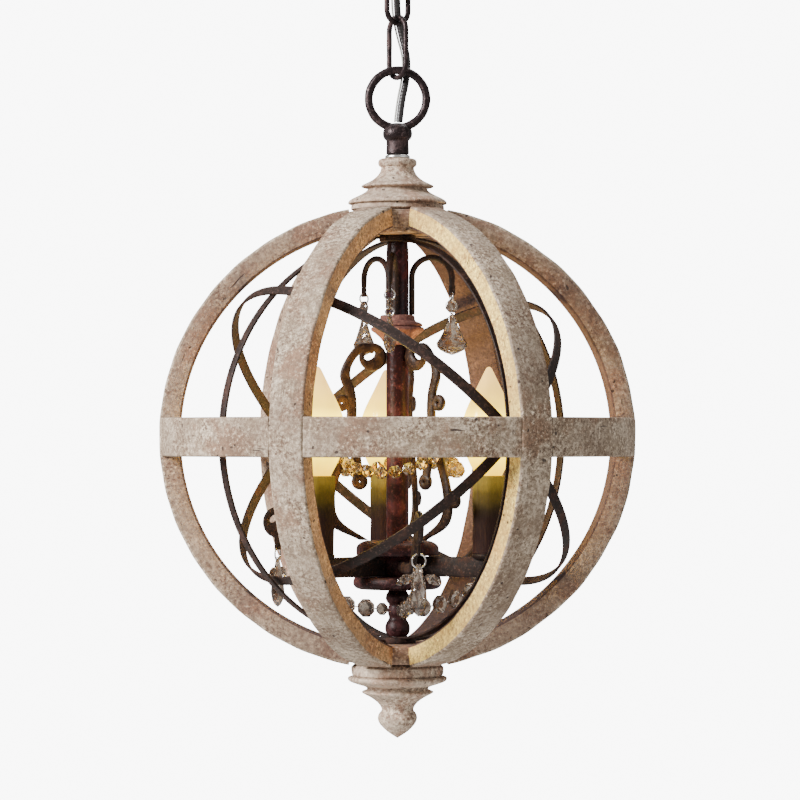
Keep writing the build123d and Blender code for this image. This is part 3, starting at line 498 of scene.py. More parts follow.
# ======== wooden globe
GLOBE_R, GLOBE_H = 155.0, 151.3  # half its width and half its height, over the ribs
RIB_WIDTH, RIB_DEPTH, RIB_TURN = 23.5, 14.0, 3.7
BAND_HEIGHT = 24.8
POLE_R = 32.4  # how near the axis the ribs end
HALF_LAP = 6.8  # depth of a rib behind the band
# slots of a rounded box's 16 faces: outer face, side, inner face, side
BOX_SLOTS = [0, 0, 0, 1, 2, 2, 2, 2, 2, 2, 2, 1, 0, 0, 0, 0]


def rib(turn, seed, lit):
    """A bent rib between two ellipses, outer and inner, half as deep behind the band.  lit is the
    number of the section's face that gets the fourth finish, a painted lamp light."""
    pole = np.arccos(POLE_R / GLOBE_R)
    lap = BAND_HEIGHT / 2 + 0.25
    edge = np.arcsin(lap / GLOBE_H)
    steps = [edge + 0.001, edge - 0.001, -edge + 0.001, -edge - 0.001]
    t = np.sort(np.concatenate([np.linspace(pole, -pole, 150), steps]))[::-1]
    corner, quarter = 1.5, np.linspace(0, TAU / 4, 4)
    w, d = RIB_WIDTH / 2, RIB_DEPTH
    # across and depth of the section's points, depth 0 at the outer face
    across, depth = [], []
    middles = [(w - corner, corner), (w - corner, d - corner),
               (corner - w, d - corner), (corner - w, corner)]
    for k, (x, y) in enumerate(middles):
        start = (k - 1) * TAU / 4
        across.append(x + corner * np.cos(start + quarter))
        depth.append(y + corner * np.sin(start + quarter))
    across, depth = np.concatenate(across), np.concatenate(depth)
    slots = np.array(BOX_SLOTS)
    if lit is not None:
        slots[lit] = 3
    shallow = np.abs(GLOBE_H * np.sin(t))[:, None] < lap
    # behind the band its inner corners stay a little rounded
    real = np.where(shallow, np.minimum(depth, HALF_LAP - 0.4 * (depth < 13)), depth)
    dents = 0.22 * np.sin(17 * t + seed)[:, None] * np.sin(3 * across / w + seed)
    waves = 0.12 * np.sin(41 * t + 2 * seed)[:, None]
    depths = real + np.where(real < 3, dents + waves, 0)  # only the outer face is worn
    radius = (GLOBE_R - depths) * np.cos(t)[:, None]
    height = (GLOBE_H - depths) * np.sin(t)[:, None]
    side = across + 0.1 * np.sin(29 * t + seed)[:, None]
    points = stand_up(np.stack([radius, height], -1), turn, side)
    along = lengths(np.stack([GLOBE_R * np.cos(t), GLOBE_H * np.sin(t)], -1))
    around = lengths(np.stack([across, depth], -1), True)
    return grid(points, lattice(along + 60 * seed, around + 37 * seed), shade=slots)


# painted lamp light: the two side faces beside the front window are coloured amber and gold for the
# lamps' warm light on them, the right one more
for number, (lit, lamplit_finish) in enumerate([(None, bare_side)] * 4 + [(3, amber_lamplit_side), (11, golden_lamplit_side)], 1):
    piece(f"bent_rib_{number}", [rib(RIB_TURN + 60 * (number - 1), float(number), lit)],
          "globe", f"rib_{number}", limed_face, bare_side, dark_inside_face, lamplit_finish)


def band():
    """The band round the equator: a rounded box section, its outer face stepped back at the ribs."""
    half_lap = (RIB_WIDTH / 2 + 0.15) / GLOBE_R
    laps = np.radians(RIB_TURN) + np.arange(6) * TAU / 6
    turn = circle(240)
    steps = np.concatenate([laps + s * half_lap + e * 0.0006 for s in (1, -1) for e in (1, -1)]) % TAU
    turn = np.sort(np.concatenate([turn, steps]))
    away = np.min(np.abs((turn[:, None] - laps + np.pi) % TAU - np.pi), 1)
    worn = GLOBE_R - 0.35 + 0.15 * np.sin(7 * turn) * np.sin(31 * turn)
    outer = np.where(away < half_lap, GLOBE_R - RIB_DEPTH / 2, worn)[:, None]
    inner = GLOBE_R - RIB_DEPTH
    corner, quarter = 1.3, np.linspace(0, TAU / 4, 4)
    places, heights = [], []
    for k, (side, top) in enumerate(((1, 1), (0, 1), (0, -1), (1, -1))):
        a = k * TAU / 4 + quarter
        places.append(np.where(side, outer - corner, inner + corner) + corner * np.cos(a))
        heights.append(top * (BAND_HEIGHT / 2 - corner) + corner * np.sin(a))
    reach, height = np.concatenate(places, 1), np.concatenate(heights)
    uv = lattice(np.append(turn, TAU) * GLOBE_R, lengths(np.stack([reach[0], height], -1), True))
    return grid(round_axis(reach, turn[:, None], ORB_Z + height), uv, wrap_u=True, shade=BOX_SLOTS)


piece("belt", [band()], "globe", "equator_band", limed_face, bare_side, bare_side)

lathe("pole_block_top", [(131.5, 31.6), (132.2, 32.6), (133.2, 33), (145.4, 33), (146.4, 32.4),
                         (146.6, 31.5)], "top_block", bare_side, cuts=1)
lathe("pole_block_bottom", [(-146.6, 31.5), (-146.2, 32.6), (-145.4, 33), (-136, 33),
                            (-135, 32.6), (-134.5, 31.6)], "bottom_block", bare_side, cuts=1)

# finials, as heights above their seats
SEAT = 146.8
crown = [(0, 30.3), (4, 30.4), (4.5, 29.4), (5, 30), (5, 32.3), (6.6, 32.2), (8.4, 30),
         (10.6, 25.2), (12.9, 20.9), (14.9, 19.2), (15.4, 19.6), (15.9, 23.5), (17.2, 23.6),
         (18.2, 21.2), (20.6, 16.4), (23.6, 12.9), (26.8, 11), (29.2, 10.6), (29.9, 12.2),
         (31.8, 12.7), (33.6, 12.4), (34.8, 11)]
lathe("crown_finial", [(SEAT + h, r) for h, r in crown], "top_finial", turned_wood, wobble=0.12)
tail = [(0, BORE), (0, 30), (8.2, 30.2), (8.7, 28.2), (9.2, 28.4), (9.4, 32), (10.8, 32.6),
        (12.6, 31.4), (14.4, 26), (16, 20.6), (17.4, 19.8), (18.2, 21), (19, 23.4),
        (20, 23.3), (21.2, 21), (24, 15.8), (27.4, 11.8), (30.4, 10.3), (31.6, 10.5),
        (33.4, 12.2), (36.4, 13.1), (39.6, 12.1), (42.6, 9.6), (45.4, 6.6), (47.4, 3.6), (49.5, 0.3)]
lathe("tail_finial", [(-SEAT - h, r) for h, r in reversed(tail)], "bottom_finial", turned_wood,
      bore=None, wobble=0.12)
lathe("plated_washer", [(181.8, 8), (182.8, 8.2), (183.6, 7.8), (184.2, 6.8)], "top_washer", nickel,
      cuts=1)

# ======== ring, boss, chain and ceiling cup
# heights of the ring, the links and the loop are from the ceiling
RING_Z, RING_R = -181.6, 18.8
spin = circle(96)
wrought = 1 + 0.045 * np.sin(9 * spin) * np.sin(4 * spin + 1)
ring_path = np.stack([RING_R * np.sin(spin), 0 * spin, RING_Z + RING_R * np.cos(spin)], -1)
boss = [(184.4, 0.5), (184.4, 7.3), (185, 7.5), (192.4, 7.2), (193.4, 7.4), (194.4, 8.6), (196.4, 9.6),
        (199, 9.6), (201.4, 8.8), (203.2, 7), (204.6, 4.4), (205, 0.3)]
piece("hanging_ring", [swept(ring_path, round_section(2.7), (0, 1, 0), True, wrought),
                       turned(boss, wobble=0.1, sides=40)], "globe", "hang_ring", ring_iron)

LINK_HALF, LINK_LONG = 8.7, 39.4  # half its width and its length, at the wire's middle
LINKS = [(-128.25, -52), (-92.8, 38), (-57.35, 128)]  # each one's top, and its plane's angle
# two half circles joined by straight sides
straight = LINK_LONG / 2 - LINK_HALF
bow = np.linspace(0, np.pi, 20)
upper_end = np.stack([LINK_HALF * np.cos(bow), straight + LINK_HALF * np.sin(bow)], -1)
left = np.stack([np.full(6, -LINK_HALF), np.linspace(straight, -straight, 8)[1:-1]], -1)
link_line = np.vstack([upper_end, left, -upper_end, -left])
way_round = np.linspace(0, TAU, len(link_line))
rough = 1 + 0.05 * np.sin(9 * way_round) * np.sin(4 * way_round)
for number, (top, turn) in enumerate(LINKS, 1):
    path = stand_up(link_line, turn, lift=top - LINK_LONG / 2)
    piece(f"long_link_{number}", [swept(path, round_section(1.8, 14), aside(turn), True, rough)],
          f"link_{number}", f"chain_link_{number}", ring_iron)

LOOP_TURN, LOOP_Z, LOOP_R = 218.0, -47.5, 14.5
loop_path = stand_up(LOOP_R * np.stack([np.sin(spin), np.cos(spin)], -1), LOOP_TURN, lift=LOOP_Z)
neck = [(-34, 3.6), (-32, 4.2), (-30.4, 6.4), (-29.2, 8.4), (-26.6, 9), (-25.2, 8.9), (-25.2, 5),
        (-0.2, 5), (-0.2, 0.3)]
piece("cup_loop", [swept(loop_path, round_section(2.5), aside(LOOP_TURN), True),
                   turned(neck, lift=0, sides=40, cuts=1)], "ceiling_fitting", "canopy_loop", ring_iron)
cup = rounded([(0, 62), (0, 63.5), (-3, 63.5), (-8, 60.9), (-14, 53.4), (-20, 41.5), (-24.2, 30),
               (-25, 24), (-25, 5.4), (-23.5, 5.4), (-23.5, 23), (-22.6, 29), (-18.6, 40),
               (-12.6, 52), (-6.6, 59.2), (-2.4, 61.6)], 2, closed=True)
piece("ceiling_cup", [grid(round_axis(cup[:, 1:], spin, cup[:, :1]), wrap_u=True)],
      "ceiling_fitting", "canopy", ring_iron)

# ======== iron cage
CAGE_R, CAGE_Z, HOOP_TURN = 132.8, ORB_Z - 1.5, -57.0
STRAP = 1.8  # thickness
# from one hoop in to the next: a strap, some air, and how far the flats of a 48-sided hoop cut in
STEP = STRAP + 0.1 + CAGE_R * (1 - np.cos(np.radians(180 / 48)))
WAVE = 0.12  # unevenness of the bending
hoop_axis = out_from(HOOP_TURN)
hoops = [(hoop_axis, CAGE_R), (-out_from(HOOP_TURN + 90), CAGE_R - STEP)]  # (normal, outer radius)
for lean, radius in ((45.0, CAGE_R - 2 * STEP), (-45.0, CAGE_R + STEP)):
    leaned = UP * np.cos(np.radians(lean)) + np.cross(hoop_axis, UP) * np.sin(np.radians(lean))
    hoops.append((leaned, radius))
t = circle(160)[:, None]
for number, (normal, radius) in enumerate(hoops, 1):
    first = unit(np.cross(normal, [0.3, 0.2, 0.9]))
    second = np.cross(normal, first)
    bent = radius - STRAP / 2 - WAVE + WAVE * np.sin(5 * t + number)
    path = np.array([0, 0, CAGE_Z]) + bent * (np.cos(t) * first + np.sin(t) * second)
    piece(f"strap_hoop_{number}", [swept(path, bar_section(7, 1.75, 0.6, 2), normal, True)],
          "globe", f"cage_hoop_{number}", black_iron)
discs = [turned([(z, BORE), (z, 11.4), (z + 0.5, 12.0), (z + 3.5, 12.0), (z + 4, 11.4), (z + 4, BORE)],
                cuts=1, sides=48) for z in (127.3, -134.3)]
piece("pole_discs", discs, "globe", "cage_discs", black_iron)

# ======== column, bell, hub, balls
lathe("upright_tube", [(-67.3, 7.3), (-60, 7.25), (-10, 7.25), (20, 7.3), (60, 7.25), (100, 7.2),
                       (127.1, 7.25)], "column", red_iron, wobble=0.1, cuts=1)
bell = [(60, 8.6), (62.6, 9.6), (65.6, 12.2), (67.8, 14.9), (68.6, 16.2), (69.4, 17.2), (71, 17.4),
        (71.6, 16.6), (72, 15.2), (72.4, 16.4), (73.8, 16.2), (74.8, 14.4), (75.4, 12.4), (76, 11.6),
        (78.8, 11.2), (79.6, 10.4)]
lathe("bell_collar", bell, "column_bell", rosy_wood, bore=7.5, wobble=0.08, cuts=1)
hub = [(-90.7, 12), (-77.4, 12), (-77.1, 26.4), (-76.4, 27), (-72.4, 27), (-70.4, 26.2),
       (-68.4, 23.4), (-67.5, 20)]
lathe("hub_spool", hub, "arm_hub", hub_iron, wobble=0.1, cuts=1)
lid = [(-99.3, 24.4), (-98.4, 27.2), (-96.6, 28.7), (-94.4, 29), (-91.6, 28.2), (-90.9, 27.2)]
lathe("hub_lid", lid, "hub_cover", hub_iron, wobble=0.1, cuts=1)
balls = [(-130.1, 6), (-128.4, 7.4), (-126.2, 8.1), (-124, 8.2), (-121.6, 7.6), (-119.6, 6.3),
         (-118, 5.6), (-117, 5.7), (-115.6, 6.2), (-113.6, 6.4), (-111.6, 6.2), (-109.8, 5.5),
         (-108.8, 5.8), (-107.2, 7.2), (-105, 7.8), (-102.6, 7.4), (-100.4, 6), (-99.5, 5.4)]
lathe("spindle_balls", balls, "hub_balls", hub_iron, wobble=0.05, cuts=1, sides=48)

# ======== candle lamps
LAMP_TURN, LAMP_R = 97.0, 64.0  # the first lamp's angle, and how far out they stand
ARM_Z = -84.05  # middle of the flat arms
SLEEVE_FOOT, SLEEVE_RIM, SLEEVE_R = -75.0, -25.0, 10.45
THREAD_R, THREAD_DEPTH, THREAD_PITCH = 5.55, 0.33, 2.6


def drip_sleeve(spot, phase):
    """A candle tube with four drips down its outside, each from the rim to a height of its own."""
    rise = np.linspace(SLEEVE_FOOT, SLEEVE_RIM, 40)
    around = circle(72)
    drip = np.zeros((40, 72))
    drips = [(0.9, -52, 0.16, 1), (2.4, -64, 0.2, 1.2), (4, -45, 0.13, 0.8), (5.4, -58, 0.17, 1.1)]
    for start, end, width, tall in drips:
        away = (around - start - phase + np.pi) % TAU - np.pi
        drip += tall * np.exp(-(away / width) ** 2) * (1 / (1 + np.exp(-(rise - end) / 1.6)))[:, None]
    outside = SLEEVE_R + np.minimum(drip, 1.05) + 0.15 * np.sin(3 * around + rise[:, None] * 0.2)
    # over the rim and down the inside
    reach = np.vstack([outside, *(np.full((1, 72), r) for r in (10.2, 9.7, 9.7))])
    level = np.concatenate([rise[:-1], [-25.2, -24.9, -25.3, SLEEVE_FOOT]])
    return grid(round_axis(reach, around, ORB_Z + level[:, None], spot), wrap_u=True)


nut = [(-78.7, 4), (-78.7, 9.2), (-77.6, 10.6), (-76.4, 11), (-75.4, 10.8), (-75.2, 10.2),
       (-75.2, 4)]
holder = [(-75, 0.3), (-75, 9.4), (-32, 9.4), (-31, 8.8), (-31, 6.6), (-51, 6.5), (-52, 6.2), (-52, 0.3)]
screw = np.linspace(-48.6, -31.6, 60)
thread = np.stack([screw, THREAD_R + THREAD_DEPTH * np.sin(screw * TAU / THREAD_PITCH)], -1)
cap = np.vstack([[(-51.6, 0.3), (-51.6, 3), (-50.6, 3.8), (-49.2, 5)], thread,
                 [(-30.4, 5.9), (-29, 6), (-29, 0.3)]])
flame = [(-28.8, 0.3), (-28.8, 6.3), (-27, 7.4), (-23, 9.3), (-16, 13), (-8, 16.1),
         (0, 17.5), (8, 17.3), (15, 15.7), (22, 12.8), (29, 9.2), (36, 5.8), (41, 3.4),
         (44, 1.9), (45, 0.9), (45.2, 0.2)]
arms, sleeves, holders = [], [], []
for number, turn in thirds(LAMP_TURN):
    spot = LAMP_R * out_from(turn)[:2]
    line = stand_up([(r, ARM_Z) for r in np.linspace(12.4, 76, 24)], turn)
    wear = 1 + 0.012 * np.sin(np.linspace(0, 20, 24) + (number - 1))
    arms += [swept(line, bar_section(5.9, 13, 0.9, 3), aside(turn), taper=wear),
             turned(nut, spot, cuts=1, sides=40)]
    sleeves.append(drip_sleeve(spot, 0.7 * (number - 1)))
    holders.append(turned(holder, spot, cuts=1, sides=40))
    piece(f"screw_cap_{number}", [turned(cap, spot, cuts=0, sides=40)],
          f"bulb_{number}", f"bulb_base_{number}", brass_cap)
    glass = piece(f"flame_bulb_{number}", [turned(flame, spot)],
                  f"bulb_{number}", f"bulb_glass_{number}", bulb_light)
    glass.visible_shadow = False  # the filament's light comes out through it
piece("flat_arms", arms, "globe", "candle_arms", black_iron)
piece("drip_sleeves", sleeves, "globe", "candle_sleeves", sleeve_finish)
piece("lamp_sockets", holders, "globe", "lampholders", dark_plastic)


# ======== flat-iron scrolls
def oval(centre, radius, count=40, squeeze=(1, 1), lean=0.0):
    """A closed outline: an ellipse, leaned by an angle."""
    a = circle(count)
    x, y = radius * squeeze[0] * np.cos(a), radius * squeeze[1] * np.sin(a)
    c, s = np.cos(np.radians(lean)), np.sin(np.radians(lean))
    return np.stack([centre[0] + c * x - s * y, centre[1] + s * x + c * y], -1)


SCROLL_TURN = 75.0
EYE = (16.65, 52)
limb_outer = even([(14.5, 60.6), (27.6, 59.5), (38.6, 42), (34.8, 27), (34.8, 8), (42, -14),
                   (49, -38), (46.5, -56), (25.8, -67)], 70)
limb_inner = even([(16.6, 54.4), (25.7, 53.5), (32, 42), (28, 27), (28.2, 8), (35, -14),
                   (42, -38), (38.5, -54), (19.4, -67.2)], 70)
spur_outer = even([(29.6, 14), (33.4, 3), (31.6, -12), (29.8, -27)], 24)
spur_inner = even([(28.6, 12), (27.8, 4), (24.8, -12), (22.8, -27)], 24)
eye_hole = oval((EYE[0] + 2.2, EYE[1] + 1.2), 3.2, squeeze=(1.25, 0.8), lean=-35)
for number, turn in thirds(SCROLL_TURN):
    skins = [between(limb_outer, limb_inner, turn, 4.0), between(spur_outer, spur_inner, turn, 3.6),
             between(oval(EYE, 9.2), eye_hole, turn, 4.0, True)]
    for x, y, r in ((37.5, 22, 5.4), (25.5, -29, 5.4), (51.5, -41, 5.2)):
        skins.append(between(oval((x, y), r, 24), oval((x, y), 0.4, 24), turn, 4.0, True))
    piece(f"iron_scroll_{number}", skins, "globe", f"scroll_{number}", scroll_iron)

# ======== lower arms and hooks
ARM_TURN, ARM_EYE = 39.0, (85, -56.5)
over = even([(12.4, -80.55), (42, -80.55), (60, -77.6), (75.1, -55.5)], 40)
under = even([(12.4, -87.55), (44, -87.55), (64, -82.6), (83, -66.4)], 40)
curl_hole = oval((88.2, -54.1), 2.5, squeeze=(1.3, 0.8), lean=-40)
tongue = even([(85, -62), (85, -68), (85, -74.6)], 12)
curls = []
for _, turn in thirds(ARM_TURN):
    curls += [between(over, under, turn, 3.9), between(oval(ARM_EYE, 10.5), curl_hole, turn, 4.0, True),
              between(tongue + [-2.3, 0], tongue + [2.3, 0], turn, 2.2)]
piece("curled_arms", curls, "globe", "pendant_arms", black_iron)

HOOK_TURNS = (8.7, 128, 262)
STEM, REACH = 9.45, 36.0  # radii of a hook's stem and of its tip
bend = (REACH - STEM) / 2
arch = np.linspace(np.pi, 0, 24)
cane = np.vstack([[(STEM, z) for z in np.linspace(79.8, 102, 8)],
                  np.stack([STEM + bend + bend * np.cos(arch), 104 + bend * np.sin(arch)], -1),
                  [(REACH, 102.0), (REACH, 98.0)]])
thin = np.concatenate([np.full(len(cane) - 2, 1.0), [0.95, 0.8]])
tongue = np.linspace([REACH, 99.0], [REACH, 92.6], 8)
hooks = []
for turn in HOOK_TURNS:
    hooks += [swept(stand_up(cane, turn), round_section(2, 14), aside(turn), taper=thin),
              between(tongue + [-2.2, 0], tongue + [2.2, 0], turn, 2.0)]
piece("cane_hooks", hooks, "globe", "crystal_hooks", black_iron)


# ======== crystals
def at_arm(turn, radius, height):
    """A place on an arm: origin, and its outward, up and sideways directions."""
    return out_from(turn) * radius + UP * (ORB_Z + height), out_from(turn), UP, -aside(turn)


def gem(place, rows):
    """A skin over rows of points that are given along a place's three directions."""
    origin, x_way, y_way, z_way = place
    rows = np.array(rows)
    return grid(origin + rows[..., :1] * x_way + rows[..., 1:2] * y_way + rows[..., 2:] * z_way)


def cut_stone(place, sections, flats):
    """A cut stone: rows (height, half width, half thickness), every other row turned half a facet, so
    that its faces are triangles and kites."""
    rows = []
    for k, (height, width, thick) in enumerate(sections):
        a = TAU / flats * (np.arange(flats) + 0.5 * (k % 2))
        rows.append(np.stack([width * np.cos(a), np.full(flats, height), thick * np.sin(a)], -1))
    skin = gem(place, rows)
    quads = skin["faces"]
    even_row = (np.arange(len(quads)) // flats % 2 == 0)[:, None]
    halves = [np.where(even_row, quads[:, one], quads[:, other]) for one, other in
              (([0, 1, 2], [0, 1, 3]), ([0, 2, 3], [1, 2, 3]))]
    return {**skin, "faces": np.vstack(halves)}


def octagon(place, radius, thick):
    """An octagonal bead: a flat table on both faces, a row of kites round each, and a sharp girdle."""
    rows = []
    cuts = [(-0.5, 0.5, 0), (-0.3, 0.82, 1), (0, 1, 0), (0.3, 0.82, 1), (0.5, 0.5, 0)]
    for offset, share, half in cuts:
        a = TAU / 8 * (np.arange(8) + 0.5 + 0.5 * half)
        rows.append(np.stack([radius * share * np.cos(a), radius * share * np.sin(a),
                              np.full(8, offset * thick)], -1))
    return gem(place, rows)


def wire_ring(turn, radius, top, mean):
    """A silver ring that hangs across the arm."""
    a = circle(40)[:, None]
    origin, out_way, up_way, side_way = at_arm(turn, radius, top - mean)
    path = origin + mean * (np.cos(a) * side_way + np.sin(a) * up_way)
    return swept(path, round_section(0.55, 10), out_way, True)


def outline(top, length, shares):
    """A stone's rows, from (share of its length, half width, half thickness)."""
    return [(top - length * (1 - share), w, t) for share, w, t in shares]


# the hooks' pendants, from the eye down: a ring, a bead on it, a smaller ring and a teardrop
HOOK_EYE = 94.8
BEAD_TOP, BEAD_FOOT, DROP_HOLE = HOOK_EYE - 6.8, HOOK_EYE - 11.6, HOOK_EYE - 17.0
drop = outline(DROP_HOLE + 1.9, 26, [
    (0, 0.6, 0.5), (0.05, 4.4, 2.2), (0.12, 7.9, 3), (0.2, 10, 3.7), (0.3, 10.3, 3.9),
    (0.42, 8.2, 3.6), (0.55, 6.2, 3), (0.68, 4.8, 2.4), (0.82, 3.2, 1.7), (0.93, 2.6, 1.2),
    (1, 1.4, 0.7)])
for number, turn in enumerate(HOOK_TURNS, 1):
    rings = [wire_ring(turn, REACH, HOOK_EYE, 3.4), wire_ring(turn, REACH, BEAD_FOOT, 2.7)]
    piece(f"hook_rings_{number}", rings, f"upper_pendant_{number}", f"upper_ring_{number}", silver)
    bead = octagon(at_arm(turn, REACH, (BEAD_TOP + BEAD_FOOT) / 2), 4.6, 3.2)
    piece(f"almond_drop_{number}", [bead, cut_stone(at_arm(turn, REACH, 0), drop, 12)],
          f"upper_pendant_{number}", f"upper_crystal_{number}", crystal_glass, faceted=True)

# the arms' pendants: a ring, an icicle and a leaf on each side of it
EYE_FOOT = -73.2
ICICLE_HOLE = EYE_FOOT - 8.8
icicle = outline(ICICLE_HOLE + 2.6, 33, [
    (0, 0.4, 0.4), (0.05, 2.4, 2.2), (0.14, 4.3, 3.8), (0.3, 5.4, 4.4), (0.48, 4.9, 4),
    (0.66, 4, 3), (0.82, 2.8, 2), (1, 1.3, 1)])
leaf = [(4.8, 0.8, 0.6), (6.6, 2.2, 1.1), (9.2, 3.3, 1.5), (11.6, 3.3, 1.4), (14, 2.2, 1),
        (16.2, 0.4, 0.4)]
LEAF_LEAN = np.radians(118)  # from straight up
for number, turn in thirds(ARM_TURN):
    piece(f"arm_ring_{number}", [wire_ring(turn, ARM_EYE[0], EYE_FOOT, 4.4)],
          f"lower_pendant_{number}", f"lower_ring_{number}", silver)
    origin, out_way, up_way, side_way = at_arm(turn, ARM_EYE[0], 0)
    stones = [cut_stone((origin, side_way, up_way, out_way), icicle, 8)]
    root = origin + up_way * (ICICLE_HOLE - 2.6)
    for way in (1, -1):
        lean = up_way * np.cos(LEAF_LEAN) + side_way * way * np.sin(LEAF_LEAN)
        stones.append(cut_stone((root, np.cross(lean, out_way), lean, out_way), leaf, 6))
    piece(f"icicle_{number}", stones,
          f"lower_pendant_{number}", f"lower_crystal_{number}", crystal_glass, faceted=True)

# beads under the lower arms, from the arm in: radius, height and half width
GARLAND = [(68.5, -90.5, 6.4), (62.4, -102.8, 6.4), (49.4, -107.6, 6.4), (35.8, -110.4, 6.4),
           (22.1, -112, 6.4), (10.8, -112.4, 4.4)]
beads, pins = [], []
for _, turn in thirds(ARM_TURN):
    beads += [octagon(at_arm(turn, radius, z), size, 5.0) for radius, z, size in GARLAND]
    ends = [(64.5, -83.15, 0)] + GARLAND
    for (r1, z1, size_1), (r2, z2, size_2) in zip(ends, ends[1:]):
        a, b = np.array([r1, z1]), np.array([r2, z2])
        way = unit(b - a)
        pin = np.linspace(a + way * size_1 * 0.9, b - way * size_2 * 0.9, 6)
        pins.append(swept(stand_up(pin, turn), round_section(0.45, 8), aside(turn)))

# swags of amber beads from each scroll to the next, a few degrees clear of both
SWAG_R, SWAG_TOP, SWAG_DEPTH = 40.0, -12, 11
SWAG_GAP, SWAG_SPAN = 4.0, 112  # degrees
amber = []
for _, turn in thirds(SCROLL_TURN):
    turns = np.radians(turn + SWAG_GAP + SWAG_SPAN * np.linspace(0, 1, 5))
    sag = SWAG_DEPTH * np.array([0, 0.72, 1, 0.72, 0])
    string = even(round_axis(np.full(5, SWAG_R), turns, ORB_Z + SWAG_TOP - sag), 19)
    for before, middle, after in zip(string[:-2:2], string[1::2], string[2::2]):
        size, way = np.linalg.norm(after - before) / 2, unit(after - before)
        side_way = unit(np.cross(way, UP))
        rows = size * np.array([(-0.96, 0.22, 0.22), (-0.5, 0.85, 0.85), (0, 1, 1),
                                (0.5, 0.85, 0.85), (0.96, 0.22, 0.22)])
        amber.append(cut_stone((middle, side_way, way, np.cross(side_way, way)), rows, 6))
piece("bead_strings", beads, "globe", "garland_crystals", crystal_glass, faceted=True)
piece("bead_swags", amber, "globe", "garland_crystals", amber_glass, faceted=True)
piece("bead_pins", pins, "globe", "garland_pins", silver)

# ======== lead and earth wire
# heights from the ceiling; one stretch hands over to the next half way down each link
HANDOVERS = [-148.0, -112.5, -77.0]
HINGES = [-167.65, -132.2, -96.75, -62.0]
BOSS_TOP, CUP_FOOT = ORB_Z + 205.2, -25.2


def laid_line(name, route):
    """Points of the smooth line that a route's control points shape."""
    curve = bpy.data.curves.new(name, "CURVE")
    curve.dimensions = "3D"
    curve.resolution_u = 16
    line = curve.splines.new("NURBS")
    line.points.add(len(route) - 1)
    for point, (x, y, z) in zip(line.points, route):
        point.co = (x * MM, y * MM, z * MM, 1)
    line.order_u = 3
    line.use_endpoint_u = True
    shape = bpy.data.objects.new(name, curve)
    mesh = bpy.data.meshes.new_from_object(shape)
    points = np.empty(len(mesh.vertices) * 3)
    mesh.vertices.foreach_get("co", points)
    bpy.data.objects.remove(shape)
    bpy.data.meshes.remove(mesh)
    return points.reshape(-1, 3) / MM


def lead(name, route, entry, diameter, finish, node):
    """One lead in four stretches, split half way down the links.  Its route's heights are
    above the boss; entry is where it reaches the canopy."""
    points = laid_line(name, [(x, y, BOSS_TOP + z) for x, y, z in route] + [(*entry, CUP_FOOT)])
    x, y, height = points.T
    levels = [height[0]] + HANDOVERS + [height[-1]]
    for k, hinge in enumerate(HINGES):
        keep = points[(height > levels[k] + 0.3) & (height < levels[k + 1] - 0.3)]
        ends = [[np.interp(z, height, x), np.interp(z, height, y), z] for z in levels[k:k + 2]]
        path = np.vstack([ends[:1], keep, ends[1:]])
        skin = swept(path, round_section(diameter / 2), (1, 0, 0))
        tube = piece(f"{name}_{k + 1}", [skin], None, node, finish)
        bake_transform(tube)


lead("supply_lead", [(1.2, 0.2, 0.6), (2.6, 2.2, 14), (6, 6.6, 29), (6.6, 9.6, 43),
                     (3, 9.2, 57), (-0.2, 6.6, 71), (-0.4, 0.2, 86), (-1, -6.9, 100),
                     (-1.6, -9.4, 116), (-2.2, -11.8, 134)],
     (-2, -14), 4.4, lead_finish, "power_lead")
lead("bare_earth", [(-1.8, -0.2, 0.4), (-0.4, 1.8, 14), (3, 6, 29), (3.7, 9.2, 43),
                    (-0.2, 9.4, 57), (-3.3, 6.6, 71), (-3.8, 0.4, 86), (-4.1, -8, 100),
                    (-5.2, -9.6, 116), (-6.2, -11.4, 134)],
     (-6.5, -12.5), 1.3, earth_finish, "earth_wire")

# ======== nodes kept as they are
for node in ("crossbar", "lamp_pipe"):
    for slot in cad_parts[node].material_slots:
        slot.material = nickel

# ======== stage, light, camera
FLOOR = -1.95
floor = bpy.data.meshes.new("pale_floor")
floor.from_pydata([(-6, -6, FLOOR), (6, -6, FLOOR), (6, 6, FLOOR), (-6, 6, FLOOR)], [], [(0, 1, 2, 3)])
floor.materials.append(Look("pale_floor", roughness=0.95, Base_Color=(0.86, 0.85, 0.83)).material)
new_object("pale_floor", floor)

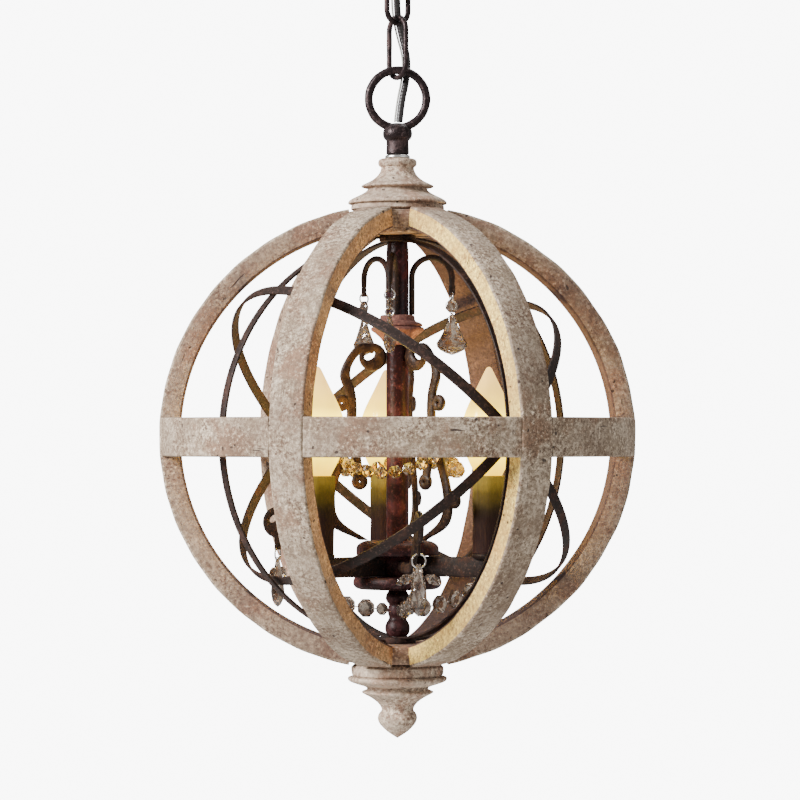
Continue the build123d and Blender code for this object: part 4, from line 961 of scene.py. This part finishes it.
world = bpy.data.worlds.new("studio")
world.use_nodes = True
nodes, links = world.node_tree.nodes, world.node_tree.links
sky = nodes["Background"]
sky.inputs["Color"].default_value = (1, 0.99, 0.97, 1)
sky.inputs["Strength"].default_value = 0.38
paper = nodes.new("ShaderNodeBackground")  # white paper behind, seen directly only
paper.inputs["Strength"].default_value = 11.0
seen, either = nodes.new("ShaderNodeLightPath"), nodes.new("ShaderNodeMixShader")
for number, source in enumerate((seen.outputs["Is Camera Ray"], sky.outputs[0], paper.outputs[0])):
    links.new(source, either.inputs[number])
links.new(either.outputs[0], nodes["World Output"].inputs[0])
bpy.context.scene.world = world

AIM = np.array([0, 0, -0.4])
SOFTBOXES = [("key", (-2.2, -1.25, 0.7), 1.1, 235), ("fill", (1.9, -1.5, 0), 1.5, 9),
             ("top", (0.2, 0.4, 1.2), 1.2, 26)]
for name, place, size, power in SOFTBOXES:
    softbox = bpy.data.lights.new(name, "AREA")
    softbox.shape = "SQUARE"
    softbox.size = size
    softbox.energy = power
    obj = new_object(name, softbox)
    obj.location = place
    obj.rotation_euler = Vector(unit(AIM - place)).to_track_quat("-Z", "Y").to_euler()
for number, turn in thirds(LAMP_TURN):
    glow = bpy.data.lights.new(f"filament_{number}", "POINT")
    glow.energy = 0.62
    glow.color = (1, 0.66, 0.22)
    glow.shadow_soft_size = 0.012
    new_object(glow.name, glow).location = (*(LAMP_R * MM * out_from(turn)[:2]), (ORB_Z - 6) * MM)

# the photo's camera: metres from the axis, the picture's width, and its scale at the globe
AWAY, SENSOR = 2.06, 36
PIXELS, MM_PER_PIXEL = 800, 0.6526
camera = bpy.data.cameras.new("photo_view")
camera.sensor_width = SENSOR
camera.lens = SENSOR * AWAY / (PIXELS * MM_PER_PIXEL * MM)
camera.shift_x, camera.shift_y = 2.5 / PIXELS, 37 / PIXELS
stand = new_object("photo_view", camera)
stand.location = (0, -AWAY, ORB_Z * MM)
stand.rotation_euler = (np.pi / 2, 0, 0)
bpy.context.scene.camera = stand
